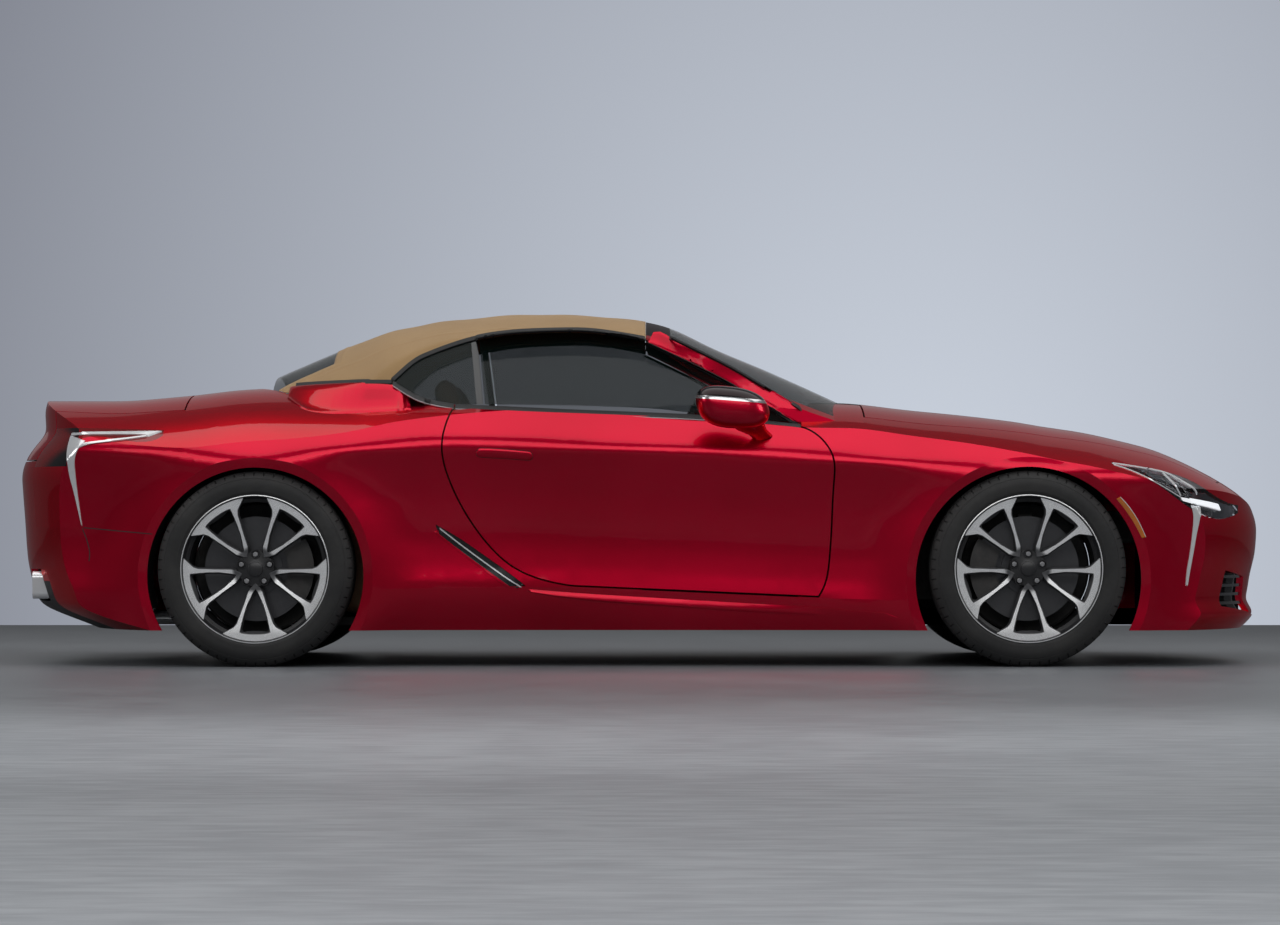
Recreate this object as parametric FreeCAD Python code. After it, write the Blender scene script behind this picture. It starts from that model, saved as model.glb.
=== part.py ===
import FreeCAD, Part
import math
import os

# A two-door convertible with its soft top closed, standing on its wheels.
# +X is forward, +Y is the car's left, +Z is up; the ground is z = 0.

V = FreeCAD.Vector
ORIGIN = V(0, 0, 0)
ACROSS = V(0, 1, 0)

# Driving dimensions
WHEELBASE = 2870.0
FRONT_OVERHANG = 940.0
REAR_OVERHANG = 960.0
BODY_WIDTH = 1920.0
BODY_HEIGHT = 1345.0
FRONT_TRACK = 1630.0
REAR_TRACK = 1640.0
GROUND_CLEARANCE = 135.0

FRONT_TYRE_WIDTH = 245.0
FRONT_TYRE_RADIUS = 364.5
REAR_TYRE_WIDTH = 275.0
REAR_TYRE_RADIUS = 363.2
RIM_RADIUS = 276.0
BEAD_RADIUS = 266.0

# Walls and gaps
PANEL = 26.0
DOOR_WALL = 150.0
SHUT_GAP = 6.5
SEAM = 3.0
SEAT_GAP = 0.3
GLASS = 5.0
FABRIC = 26.0
FRAME_WALL = 42.0
HEM = 14.0
HEM_DEPTH = 24.0

# Reach of a cut beyond the part that it crosses
REACH = 6000.0
OVERRUN = 60.0

HALF_WIDTH = BODY_WIDTH / 2
MIDDLE = (REAR_OVERHANG - FRONT_OVERHANG) / 2
FRONT_AXLE = MIDDLE + WHEELBASE / 2
REAR_AXLE = MIDDLE - WHEELBASE / 2
NOSE = FRONT_AXLE + FRONT_OVERHANG
TAIL = REAR_AXLE - REAR_OVERHANG

# Stations along the car: -2 tail, -1 rear axle, 0 middle, 1 front axle, 2 nose.
# Heights are shares of the body height, half widths are shares of half the body width.
DECK_SHARES = [(-2.2, .70), (-2.0, .742), (-1.88, .748), (-1.63, .748), (-1.35, .762), (-1.07, .783),
               (-.77, .79), (-.5, .80), (0, .787), (.17, .77), (.43, .745), (.54, .742), (.715, .722),
               (.868, .706), (1.09, .678), (1.27, .659), (1.45, .631), (1.564, .609), (1.70, .568),
               (1.80, .532), (1.91, .480), (1.97, .43), (2.03, .37), (2.2, .22)]
DECK_FALL_SHARES = [(-2.2, .10), (-2, .11), (-1.5, .16), (-1, .19), (-.6, .15), (0, .125), (2.2, .12)]
DECK_FALL_POWER = 3
PLAN_SHARES = [(-2.2, .80), (-2, .85), (-1.75, .92), (-1.4, .975), (-1, 1.0), (-.65, .985), (-.3, .962),
               (0, .955), (.4, .957), (.7, .968), (1, .985), (1.35, .975), (1.6, .955), (1.8, .93),
               (2, .89), (2.2, .84)]
CREASE_SHARES = [(-2.2, .60), (-1.9, .60), (-1.4, .585), (-1, .562), (-.7, .60), (-.5, .612),
                 (0, .595), (.5, .57), (.75, .545), (1, .53), (1.5, .515), (2.2, .49)]
FLANK_SHARES = [(-.62, .84), (-.5, .915), (-.44, .95), (-.39, .966), (-.33, .957), (-.25, .950),
                (-.15, .958), (-.07, .978), (-.02, .995), (0, 1.0), (.02, .99), (.06, .948), (.10, .90),
                (.14, .85), (.20, .77), (.30, .62), (.45, .40)]
FLARE_REACH_SHARE = 1.75
FLARE_HOLD_SHARE = 1.02
NOSE_SHARES = [(0, .25), (.06, .13), (.105, .055), (.14, .012), (.182, .036), (.249, .026), (.304, .008),
               (.37, 0), (.40, .004), (.44, .022), (.50, .05), (.56, .07), (.80, .10)]
NOSE_BOW_SHARE = .40
TAIL_SHARES = [(0, .50), (.08, .36), (.13, .20), (.165, .085), (.20, .058), (.30, .024), (.42, .012),
               (.528, .002), (.575, .018), (.62, .062), (.66, .095), (.72, .096), (.76, .112), (.9, .16)]
TAIL_BOW_SHARE = .33
BOW_POWER = 3

ROOF_SHARES = [(-1.4, .60), (-1.078, .777), (-.987, .819), (-.802, .903), (-.706, .942), (-.578, .973),
               (-.442, .990), (-.286, 1.0), (-.103, .993), (.011, .978), (.068, .963), (.207, .895),
               (.328, .841), (.448, .784), (.543, .737), (.66, .68), (.9, .56)]
ROOF_BOW_SHARES = [(-1.4, -.36), (-.8, -.30), (-.5, -.12), (-.25, 0), (0, .03), (.3, .10), (.9, .12)]
ROOF_CROWN_SHARES = [(-1.4, .20), (-.6, .21), (-.2, .215), (.1, .19), (.35, .11), (.6, .06), (.9, .05)]
ROOF_CROWN_POWER = 2.5
GLASS_PLAN_SHARES = [(-1.4, .62), (-1.1, .71), (-.8, .77), (-.5, .815), (-.2, .832), (0, .835),
                     (.2, .828), (.43, .80), (.54, .765), (.7, .70), (.9, .64)]
GLASS_FOOT_SHARE = .70
GLASS_LEAN_SHARES = [(-.6, -.30), (-.1, -.055), (0, 0), (.1, .078), (.2, .172), (.3, .285), (.45, .50)]

# Outlines in side view, as station and height shares
BELT_SHARES = [(-.86, .735), (-.488, .718), (-.2, .703), (.164, .686), (.415, .661), (.60, .638)]
DOOR_BACK_SHARES = [(-.488, .718), (-.510, .655), (-.515, .60), (-.495, .512), (-.452, .42),
                    (-.392, .333), (-.329, .275), (-.258, .243), (-.178, .226)]
DOOR_FOOT_SHARES = [(-.178, .226), (.456, .196)]
DOOR_FRONT_SHARES = [(.456, .196), (.474, .235), (.484, .30), (.490, .40), (.494, .50), (.492, .58),
                     (.470, .622), (.415, .661)]
WINDOW_TOP_SHARES = [(-.650, .797), (-.600, .842), (-.555, .868), (-.455, .906), (-.355, .926),
                     (-.215, .934), (-.12, .931), (.011, .908)]
PILLAR_UNDER_SHARES = [(.011, .903), (.12, .848), (.222, .792), (.33, .722), (.425, .662)]
WINDOW_BACK_SHARES = [(-.655, .786), (-.620, .762), (-.585, .742), (-.54, .728), (-.488, .718)]
BAR_SHARES = [(-.447, .960), (-.418, .68)]
BAR_WIDTH = 34.0
WINDOW_LOW_SHARE = .40
ABOVE_SHARE = 1.2


def smooth(table, at):
    """Height at one place of a smooth curve through a table of places, straight past its ends."""
    rises = []
    for before, after in zip(table, table[1:]):
        rises.append((after[1] - before[1]) / (after[0] - before[0]))
    slopes = [rises[0]]
    for left, right in zip(rises, rises[1:]):
        slopes.append(0 if left * right <= 0 else 2 * left * right / (left + right))
    slopes.append(rises[-1])
    if at <= table[0][0]:
        return table[0][1] + slopes[0] * (at - table[0][0])
    if at >= table[-1][0]:
        return table[-1][1] + slopes[-1] * (at - table[-1][0])
    index = 0
    while at > table[index + 1][0]:
        index += 1
    start, end = table[index], table[index + 1]
    span = end[0] - start[0]
    t = (at - start[0]) / span
    lift = t * t * (3 - 2 * t)
    leave = t * (1 - t) ** 2
    arrive = t * t * (t - 1)
    return start[1] * (1 - lift) + end[1] * lift + span * (slopes[index] * leave + slopes[index + 1] * arrive)


def station_x(share):
    """x of a station of the car."""
    if share > 1:
        return FRONT_AXLE + (share - 1) * FRONT_OVERHANG
    if share < -1:
        return REAR_AXLE + (share + 1) * REAR_OVERHANG
    return MIDDLE + share * WHEELBASE / 2


def station_of(x):
    """Station of an x."""
    if x > FRONT_AXLE:
        return 1 + (x - FRONT_AXLE) / FRONT_OVERHANG
    if x < REAR_AXLE:
        return (x - REAR_AXLE) / REAR_OVERHANG - 1
    return (x - MIDDLE) * 2 / WHEELBASE


def flare(x, z):
    """How far the flank is pulled out to the crease's width around the wheels, from 0 to 1."""
    most = 0
    for axle, radius in ((FRONT_AXLE, FRONT_TYRE_RADIUS), (REAR_AXLE, REAR_TYRE_RADIUS)):
        ratio = math.hypot(x - axle, z - radius) / radius
        t = (FLARE_REACH_SHARE - ratio) / (FLARE_REACH_SHARE - FLARE_HOLD_SHARE)
        t = max(0, min(1, t))
        most = max(most, t * t * (3 - 2 * t))
    return most


def side_y(x, z):
    """Half width of the body at one place of its side."""
    s = station_of(x)
    above = z / BODY_HEIGHT - smooth(CREASE_SHARES, s)
    section = smooth(FLANK_SHARES, above)
    if above < 0:
        section += (1 - section) * flare(x, z)
    return HALF_WIDTH * smooth(PLAN_SHARES, s) * section


def deck_z(x, y):
    """Height of the bonnet, belt and deck surface."""
    s = station_of(x)
    fall = smooth(DECK_FALL_SHARES, s) * (abs(y) / HALF_WIDTH) ** DECK_FALL_POWER
    return BODY_HEIGHT * (smooth(DECK_SHARES, s) - fall)


def nose_x(y, z):
    """Front face of the body."""
    back = smooth(NOSE_SHARES, z / BODY_HEIGHT) + NOSE_BOW_SHARE * (abs(y) / HALF_WIDTH) ** BOW_POWER
    return NOSE - FRONT_OVERHANG * back


def tail_x(y, z):
    """Rear face of the body."""
    ahead = smooth(TAIL_SHARES, z / BODY_HEIGHT) + TAIL_BOW_SHARE * (abs(y) / HALF_WIDTH) ** BOW_POWER
    return TAIL + REAR_OVERHANG * ahead


def roof_z(x, y):
    """Height of the windscreen, soft top and rear window surface."""
    s = station_of(x)
    across = abs(y) / HALF_WIDTH
    shifted = station_of(x + smooth(ROOF_BOW_SHARES, s) * WHEELBASE / 2 * across ** 2)
    crown = smooth(ROOF_CROWN_SHARES, s) * across ** ROOF_CROWN_POWER
    return BODY_HEIGHT * (smooth(ROOF_SHARES, shifted) - crown)


def glass_y(x, z):
    """Half width of the side glass surface."""
    lean = smooth(GLASS_LEAN_SHARES, z / BODY_HEIGHT - GLASS_FOOT_SHARE)
    return HALF_WIDTH * (smooth(GLASS_PLAN_SHARES, station_of(x)) - lean)


def spread(start, end, count):
    """Evenly spaced places from start to end."""
    return [start + (end - start) * index / (count - 1) for index in range(count)]


def skin(place, first, second):
    """One smooth face through a grid of places."""
    surface = Part.BSplineSurface()
    surface.interpolate([[place(a, b) for b in second] for a in first])
    return surface.toShape()


STATION_COUNT = 61
HEIGHT_COUNT = 31
WIDTH_COUNT = 25
STATIONS = spread(TAIL - OVERRUN, NOSE + OVERRUN, STATION_COUNT)
SIDE_HEIGHTS = spread(0, BODY_HEIGHT, HEIGHT_COUNT)
END_HEIGHTS = spread(-OVERRUN, BODY_HEIGHT - OVERRUN * 2, HEIGHT_COUNT)
WIDTHS = spread(-HALF_WIDTH - OVERRUN, HALF_WIDTH + OVERRUN, WIDTH_COUNT)


def box(low, high):
    """A block between two corners."""
    size = V(*high) - V(*low)
    return Part.makeBox(size.x, size.y, size.z, V(*low))


def mirrored(shape):
    """The same shape on the other side of the car."""
    return shape.mirror(ORIGIN, ACROSS)


def between_sides(side):
    """Everything between a left-hand face and its mirror image."""
    left = side.extrude(V(0, -REACH, 0)).common(box((-REACH, 0, -REACH), (REACH, REACH, REACH)))
    return left.fuse(mirrored(left)).removeSplitter()


def body(inset_side, inset_top, inset_ends):
    """The closed body below the windows, with its faces moved inwards."""
    side = skin(lambda x, z: V(x, side_y(x, z) - inset_side, z), STATIONS, SIDE_HEIGHTS)
    top = skin(lambda x, y: V(x, y, deck_z(x, y) - inset_top), STATIONS, WIDTHS)
    front = skin(lambda y, z: V(nose_x(y, z) - inset_ends, y, z), WIDTHS, END_HEIGHTS)
    rear = skin(lambda y, z: V(tail_x(y, z) + inset_ends, y, z), WIDTHS, END_HEIGHTS)
    solid = between_sides(side)
    solid = solid.common(top.extrude(V(0, 0, -REACH)))
    solid = solid.common(front.extrude(V(-REACH, 0, 0)))
    return solid.common(rear.extrude(V(REACH, 0, 0)))


HOUSE_SHARES = (-1.3, .85)
HOUSE_LOW_SHARE = .45
HOUSE_HIGH_SHARE = 1.1
HOUSE_PLACES = 37
HOUSE_LEVELS = 15
EDGE_PLACES = 21


def greenhouse(inset):
    """The closed space under the roof and inside the side glass, with its faces moved inwards."""
    places = spread(station_x(HOUSE_SHARES[0]), station_x(HOUSE_SHARES[1]), HOUSE_PLACES)
    heights = spread(BODY_HEIGHT * HOUSE_LOW_SHARE, BODY_HEIGHT * HOUSE_HIGH_SHARE, HOUSE_LEVELS)
    side = skin(lambda x, z: V(x, glass_y(x, z) - inset, z), places, heights)
    top = skin(lambda x, y: V(x, y, roof_z(x, y) - inset), places, WIDTHS)
    return between_sides(side).common(top.extrude(V(0, 0, -REACH)))


def edge_through(points):
    """A straight edge through two points or a smooth one through more."""
    if len(points) == 2:
        return Part.makeLine(*points)
    curve = Part.BSplineCurve()
    curve.interpolate(points)
    return curve.toShape()


def side_face(runs):
    """A flat face in side view, bounded by runs of stations and height shares."""
    edges = []
    for run in runs:
        edges.append(edge_through([V(station_x(s), -REACH / 2, BODY_HEIGHT * h) for s, h in run]))
    return Part.Face(Part.Wire(edges))


def side_prism(runs, grow=0):
    """A prism across the whole car on a side view outline, grown or shrunk all round."""
    face = side_face(runs)
    if grow:
        face = face.makeOffset2D(grow).toNurbs()
    return face.extrude(V(0, REACH, 0))


def half(shape):
    """The left half of a shape."""
    return shape.common(box((-REACH, 0, -REACH), (REACH, REACH, REACH)))


def both(shape):
    """A left-hand shape with its right-hand twin."""
    return Part.makeCompound([shape, mirrored(shape)])


def joined(shapes):
    """All shapes fused into one."""
    first, rest = shapes[0], shapes[1:]
    return first.fuse(rest) if rest else first


def solids(shape):
    """A compound of a shape's solids only."""
    found = shape.Solids
    return found[0] if len(found) == 1 else Part.makeCompound(found)


def largest(shape):
    """The biggest solid of a shape."""
    return max(shape.Solids, key=lambda solid: solid.Volume)


def save(name, shape):
    """Write one piece."""
    solids(shape).exportStep("parts/" + name + ".step")


def pair(name, left):
    """Write a left-hand piece and its right-hand twin."""
    save(name + "_left", left)
    save(name + "_right", mirrored(left))


# Wheel arches: a lip as the flank shows it, and a wider space behind the lip for the steered wheels
FRONT_LIP_RADIUS = 419.0
REAR_LIP_RADIUS = 402.0
FRONT_ARCH_RADIUS = 448.0
REAR_ARCH_RADIUS = 408.0
FRONT_ARCH_DROP = 40.0
REAR_ARCH_DROP = 25.0
FRONT_ARCH_DEPTH = 470.0
REAR_ARCH_DEPTH = 640.0
LINER_DEPTH = 640.0
LIP_DEPTH = 888.0
LIP_BAND = 35.0
LIP_SINK = 13.0
LIP_ANGLES = (-40, 220)
LIP_COUNT = 27
LINER = 4.0
LINER_FOOT_SHARE = .16
ARCHES = [(FRONT_AXLE, FRONT_TYRE_RADIUS - FRONT_ARCH_DROP, FRONT_LIP_RADIUS, FRONT_ARCH_RADIUS, FRONT_ARCH_DEPTH),
          (REAR_AXLE, REAR_TYRE_RADIUS - REAR_ARCH_DROP, REAR_LIP_RADIUS, REAR_ARCH_RADIUS, REAR_ARCH_DEPTH)]


def arch_spaces(grow):
    """Both left wheel arches, with the space behind the lip grown all round."""
    spaces = []
    for axle, z, lip, inner, depth in ARCHES:
        wide = Part.makeCylinder(inner + grow, LIP_DEPTH - depth + grow, V(axle, depth - grow, z), ACROSS)
        spaces.append(wide.fuse(Part.makeCylinder(lip, REACH, V(axle, LIP_DEPTH - SEAM, z), ACROSS)))
    return spaces


def arch_liner(arch):
    """Round shell over one left wheel."""
    axle, z, lip, inner, depth = arch
    start = V(axle, LINER_DEPTH, z)
    reach = LIP_DEPTH - LINER_DEPTH
    shell = Part.makeCylinder(inner + LINER, reach, start, ACROSS).cut(Part.makeCylinder(inner, reach, start, ACROSS))
    return shell.common(box((-REACH, 0, BODY_HEIGHT * LINER_FOOT_SHARE), (REACH, REACH, BODY_HEIGHT)))


def lip_chamfer(arch):
    """Space outside the chamfered lip of one left wheel arch."""
    axle, middle, lip, inner, depth = arch

    def place(angle, bands):
        turn = math.radians(angle)
        radius = lip + LIP_BAND * bands
        x, z = axle + radius * math.cos(turn), middle + radius * math.sin(turn)
        return V(x, side_y(x, z) + LIP_SINK * (bands - 1), z)

    return skin(place, spread(*LIP_ANGLES, LIP_COUNT), (-1, 0, 1, 2)).extrude(V(0, REACH, 0))


VENT_SHARES = [[(-.535, .394), (-.47, .353), (-.41, .309), (-.351, .264), (-.300, .222)],
               [(-.300, .222), (-.342, .222)],
               [(-.342, .222), (-.41, .274), (-.47, .321), (-.529, .369)],
               [(-.529, .369), (-.535, .394)]]
VENT_DEPTH = 9.0
SILL_SHARES = [[(-.80, .215), (-.178, .220)], [(-.178, .220), (.456, .190)], [(.456, .190), (.80, .18)],
               [(.80, .18), (.80, 0)], [(.80, 0), (-.80, 0)], [(-.80, 0), (-.80, .215)]]
DOOR_TOP_SHARES = BELT_SHARES[1:5]
DOOR_RUNS = [DOOR_BACK_SHARES, DOOR_FOOT_SHARES, DOOR_FRONT_SHARES, DOOR_TOP_SHARES[::-1]]

# Panel limits
BONNET_BACK_SHARE = .585
BONNET_FRONT_SHARE = 1.845
BONNET_HALF_SHARES = (.715, .60)
BONNET_NOSE_SHARE = .06
BONNET_STRAIGHT = 240.0
REGION_LOW_SHARE = .40
LID_FRONT_SHARE = -1.305
LID_HALF_SHARE = .66
LID_FOOT_SHARE = .575
TONNEAU_HALF_SHARE = .735
TONNEAU_FRONT_SHARE = -.66
TONNEAU_LOW_SHARE = .55
BUMPER_SEAM_SHARES = [(1.30, .60), (1.31, .555), (1.315, .48)]
REAR_SEAM_SHARES = [(-1.36, .66), (-1.17, .525), (-1.165, .50)]


def plate(points, low, high):
    """A flat plate on a plan view outline, from one height to another."""
    wire = Part.makePolygon([V(x, y, low) for x, y in points + points[:1]])
    return Part.Face(wire).extrude(V(0, 0, high - low))


def bonnet_region(grow=0):
    """Plan space of the bonnet."""
    back, front = station_x(BONNET_BACK_SHARE) - grow, station_x(BONNET_FRONT_SHARE) + grow
    wide = HALF_WIDTH * BONNET_HALF_SHARES[0] + grow
    slim = HALF_WIDTH * BONNET_HALF_SHARES[1] + grow
    corner = station_x(BONNET_FRONT_SHARE - BONNET_NOSE_SHARE) + grow
    left = [(front, slim / 2), (corner, slim), (back + BONNET_STRAIGHT, wide), (back, wide)]
    points = [(x, -y) for x, y in left[::-1]] + left
    return plate(points, BODY_HEIGHT * REGION_LOW_SHARE, BODY_HEIGHT)


def lid_region(grow=0):
    """Space of the boot lid with its upright rear face."""
    wide = HALF_WIDTH * LID_HALF_SHARE + grow
    low = (TAIL - REACH / 2, -wide, BODY_HEIGHT * LID_FOOT_SHARE - grow)
    return box(low, (station_x(LID_FRONT_SHARE) + grow, wide, BODY_HEIGHT))


def tonneau_region():
    """Plan space of the panel round the soft top's foot."""
    wide = HALF_WIDTH * TONNEAU_HALF_SHARE
    low = (station_x(LID_FRONT_SHARE) + SHUT_GAP, -wide, BODY_HEIGHT * TONNEAU_LOW_SHARE)
    return box(low, (station_x(TONNEAU_FRONT_SHARE), wide, BODY_HEIGHT))


def front_of(runs_line, grow=0):
    """Side view space in front of a line that runs down from the deck."""
    points = [V(station_x(s) + grow, -REACH / 2, BODY_HEIGHT * h) for s, h in runs_line]
    top = V(points[0].x, -REACH / 2, BODY_HEIGHT)
    foot = V(points[-1].x, -REACH / 2, -OVERRUN)
    far = NOSE + OVERRUN
    outline = [top] + points + [foot, V(far, -REACH / 2, -OVERRUN), V(far, -REACH / 2, BODY_HEIGHT), top]
    return Part.Face(Part.makePolygon(outline)).extrude(V(0, REACH, 0))


def behind(runs_line, grow=0):
    """Side view space behind a line that runs down from the deck."""
    points = [V(station_x(s) - grow, -REACH / 2, BODY_HEIGHT * h) for s, h in runs_line]
    top = V(points[0].x, -REACH / 2, BODY_HEIGHT)
    foot = V(points[-1].x, -REACH / 2, -OVERRUN)
    far = TAIL - OVERRUN
    outline = [top] + points + [foot, V(far, -REACH / 2, -OVERRUN), V(far, -REACH / 2, BODY_HEIGHT), top]
    return Part.Face(Part.makePolygon(outline)).extrude(V(0, REACH, 0))


# Lamps, as side view outlines
HEADLAMP_SHARES = [[(1.335, .566), (1.53, .543), (1.66, .514), (1.72, .488), (1.87, .447)],
                 [(1.87, .447), (1.865, .425)],
                 [(1.865, .425), (1.66, .430), (1.60, .458), (1.50, .508), (1.335, .560)],
                 [(1.335, .560), (1.335, .566)]]
LAMP_INNER_SHARE = .62
TAIL_LAMP_SHARES = [[(-1.365, .655), (-1.60, .660), (-2.2, .660)],
                  [(-2.2, .660), (-2.2, .385)],
                  [(-2.2, .385), (-1.70, .385)],
                  [(-1.70, .385), (-1.735, .55), (-1.72, .605), (-1.69, .625), (-1.58, .634), (-1.365, .640)],
                  [(-1.365, .640), (-1.365, .655)]]
TAIL_LAMP_INNER_SHARE = .67


def flank_space(inset):
    """Everything inboard of the left flank, moved inwards."""
    side = skin(lambda x, z: V(x, side_y(x, z) - inset, z), STATIONS, SIDE_HEIGHTS)
    return side.extrude(V(0, -REACH, 0))


def between_flanks(inset):
    """Everything between both flanks, moved inwards."""
    side = skin(lambda x, z: V(x, side_y(x, z) - inset, z), STATIONS, SIDE_HEIGHTS)
    return between_sides(side)


CHAMFERS = [lip_chamfer(arch) for arch in ARCHES]
OUTER = body(0, 0, 0).cut(CHAMFERS + [mirrored(chamfer) for chamfer in CHAMFERS])
INNER = body(PANEL, PANEL, PANEL)
HOUSE = greenhouse(0)
HOUSE_GLASS = greenhouse(GLASS)
HOUSE_CLOTH = greenhouse(FABRIC)
HOUSE_FRAME = greenhouse(FRAME_WALL)
BELOW_DECK = skin(lambda x, y: V(x, y, deck_z(x, y)), STATIONS, WIDTHS).extrude(V(0, 0, -REACH))
DRUMS = arch_spaces(0)
ALL_DRUMS = DRUMS + [mirrored(drum) for drum in DRUMS]
LINER_DRUMS = arch_spaces(LINER + SEAM)
LINER_DRUMS += [mirrored(drum) for drum in LINER_DRUMS]
UNDER_BODY = box((-REACH, -REACH, -REACH), (REACH, REACH, GROUND_CLEARANCE))
CABIN_HALF_SHARE = .80
CABIN_LOW_SHARE = .60
HINGE_PILLAR_SHARE = .57
LOCK_PILLAR_SHARE = -.62
DOOR_TOP_FRONT_SHARE = .405
WINDSCREEN_TOP_SHARE = .075
WINDSCREEN_EDGE = 52.0
WINDSCREEN_SHARES = (-.2, .85)
REAR_WINDOW_SHARES = (-.985, -.82)
REAR_WINDOW_HALF_SHARE = .42
BAR_HALF_SHARE = .0085

# Openings in the front and rear faces, as half width and height shares
GRILLE_SHARES = [(-.46, .135), (.46, .135), (.27, .455), (-.27, .455)]
INTAKE_SHARES = [(.53, .145), (.78, .165), (.76, .265), (.565, .245)]
SLAT = 11.0
SLAT_PITCH = 33.0
SLAT_SETBACK = 9.0
UPRIGHT_SLAT_SHARES = (-.16, .16, .655)
PLATE_HALF = 265.0
PLATE_LOW = 545.0
PLATE_HIGH = 672.0
PLATE_DEPTH = 17.0
PLATE_HOLE_RADIUS = 3.4
PLATE_HOLE_PITCH = 177.8
DIFFUSER_HALF_SHARE = .74
DIFFUSER_TOP_SHARE = .235

# Exhaust tips
TIP_HALF_WIDTH = 82.0
TIP_HALF_HEIGHT = 52.0
TIP_WALL = 5.0
TIP_Y = 560.0
TIP_Z = 300.0
TIP_LENGTH = 130.0
TIP_ROOM = 390.0
TIP_PROUD = 14.0
TIP_GAP = 8.0
TIP_EDGE_SHARE = .9


def build_sides():
    """Doors, fenders, quarter panels and sills."""
    side = flank_space(HEM_DEPTH)
    deep = flank_space(DOOR_WALL)
    left = half(OUTER).cut(UNDER_BODY)
    door_skin = left.common(side_prism(DOOR_RUNS)).cut(side)
    core = left.common(side_prism(DOOR_RUNS, -HEM)).common(side).cut(deep)
    door_hole = side_prism(DOOR_RUNS, SHUT_GAP)
    back, front = DOOR_TOP_SHARES[0], DOOR_TOP_SHARES[-1]
    above_door = side_prism([DOOR_TOP_SHARES, [front, (front[0], ABOVE_SHARE)],
                             [(front[0], ABOVE_SHARE), (back[0], ABOVE_SHARE)], [(back[0], ABOVE_SHARE), back]])
    belt_front = station_x(DOOR_TOP_FRONT_SHARE)
    cabin_back, cabin_front = station_x(TONNEAU_FRONT_SHARE), station_x(BONNET_BACK_SHARE) - SHUT_GAP
    cabin = box((cabin_back, 0, BODY_HEIGHT * CABIN_LOW_SHARE), (cabin_front, HALF_WIDTH * CABIN_HALF_SHARE, BODY_HEIGHT))
    sill_space = side_prism(SILL_SHARES)
    holes = DRUMS + [bonnet_region(SHUT_GAP), lid_region(SHUT_GAP), tonneau_region(), cabin, door_hole]
    holes += [sill_space, side_prism(HEADLAMP_SHARES), side_prism(TAIL_LAMP_SHARES), above_door]
    wall = left.cut(INNER)
    ahead, aft = front_of(BUMPER_SEAM_SHARES), behind(REAR_SEAM_SHARES)
    fender = wall.cut(holes + [ahead]).common(box((belt_front, 0, 0), (REACH, REACH, REACH)))
    quarter = wall.cut(holes + [aft]).common(box((-REACH, 0, 0), (MIDDLE, REACH, REACH)))
    post = left.common(INNER).cut([deep, door_hole, sill_space, above_door] + LINER_DRUMS[:2])
    hinge_post = post.common(box((belt_front, 0, 0), (station_x(HINGE_PILLAR_SHARE), REACH, BODY_HEIGHT)))
    lock_post = post.common(box((station_x(LOCK_PILLAR_SHARE), 0, 0), (MIDDLE, REACH, BODY_HEIGHT)))
    pair("door", door_skin.fuse(core))
    pair("fender", largest(fender.fuse(hinge_post)))
    vent = side_prism(VENT_SHARES).cut(flank_space(VENT_DEPTH))
    pair("quarter_panel", largest(quarter.fuse(lock_post).cut(vent)))
    save("sills", both(left.common(sill_space).cut([deep] + LINER_DRUMS[:2])))


def lamp_room(runs, inner_share):
    """Space of the left lamp and its twin."""
    room = side_prism(runs).common(box((-REACH, HALF_WIDTH * inner_share, 0), (REACH, REACH, BODY_HEIGHT)))
    return [room, mirrored(room)]


def outline(points):
    """Straight runs through a closed list of outline points."""
    return [[start, end] for start, end in zip(points, points[1:] + points[:1])]


def end_prism(shares):
    """A prism along the whole car on an outline of half width and height shares."""
    points = [V(-REACH / 2, HALF_WIDTH * y, BODY_HEIGHT * z) for y, z in shares]
    return Part.Face(Part.makePolygon(points + points[:1])).extrude(V(REACH, 0, 0))


def slats(wall, opening):
    """Level bars and a few upright ones across an opening, set back from the wall's face."""
    extent = opening.BoundBox
    bars = []
    z = extent.ZMin
    while z < extent.ZMax:
        bars.append(box((-REACH, extent.YMin, z), (REACH, extent.YMax, z + SLAT)))
        z += SLAT_PITCH
    for share in UPRIGHT_SLAT_SHARES:
        y = HALF_WIDTH * share
        if extent.YMin < y < extent.YMax:
            bars.append(box((-REACH, y - SLAT / 2, extent.ZMin), (REACH, y + SLAT / 2, extent.ZMax)))
    grid = wall.common(opening).common(joined(bars))
    grid.translate(V(-SLAT_SETBACK, 0, 0))
    return grid


def tip_spaces(grow):
    """Spaces of both exhaust tips through the rear bumper, grown all round."""
    half_wide, half_high = TIP_HALF_WIDTH + grow, TIP_HALF_HEIGHT + grow
    left = box((-REACH, TIP_Y - half_wide, TIP_Z - half_high), (TAIL + TIP_ROOM, TIP_Y + half_wide, TIP_Z + half_high))
    return [left, mirrored(left)]


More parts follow.
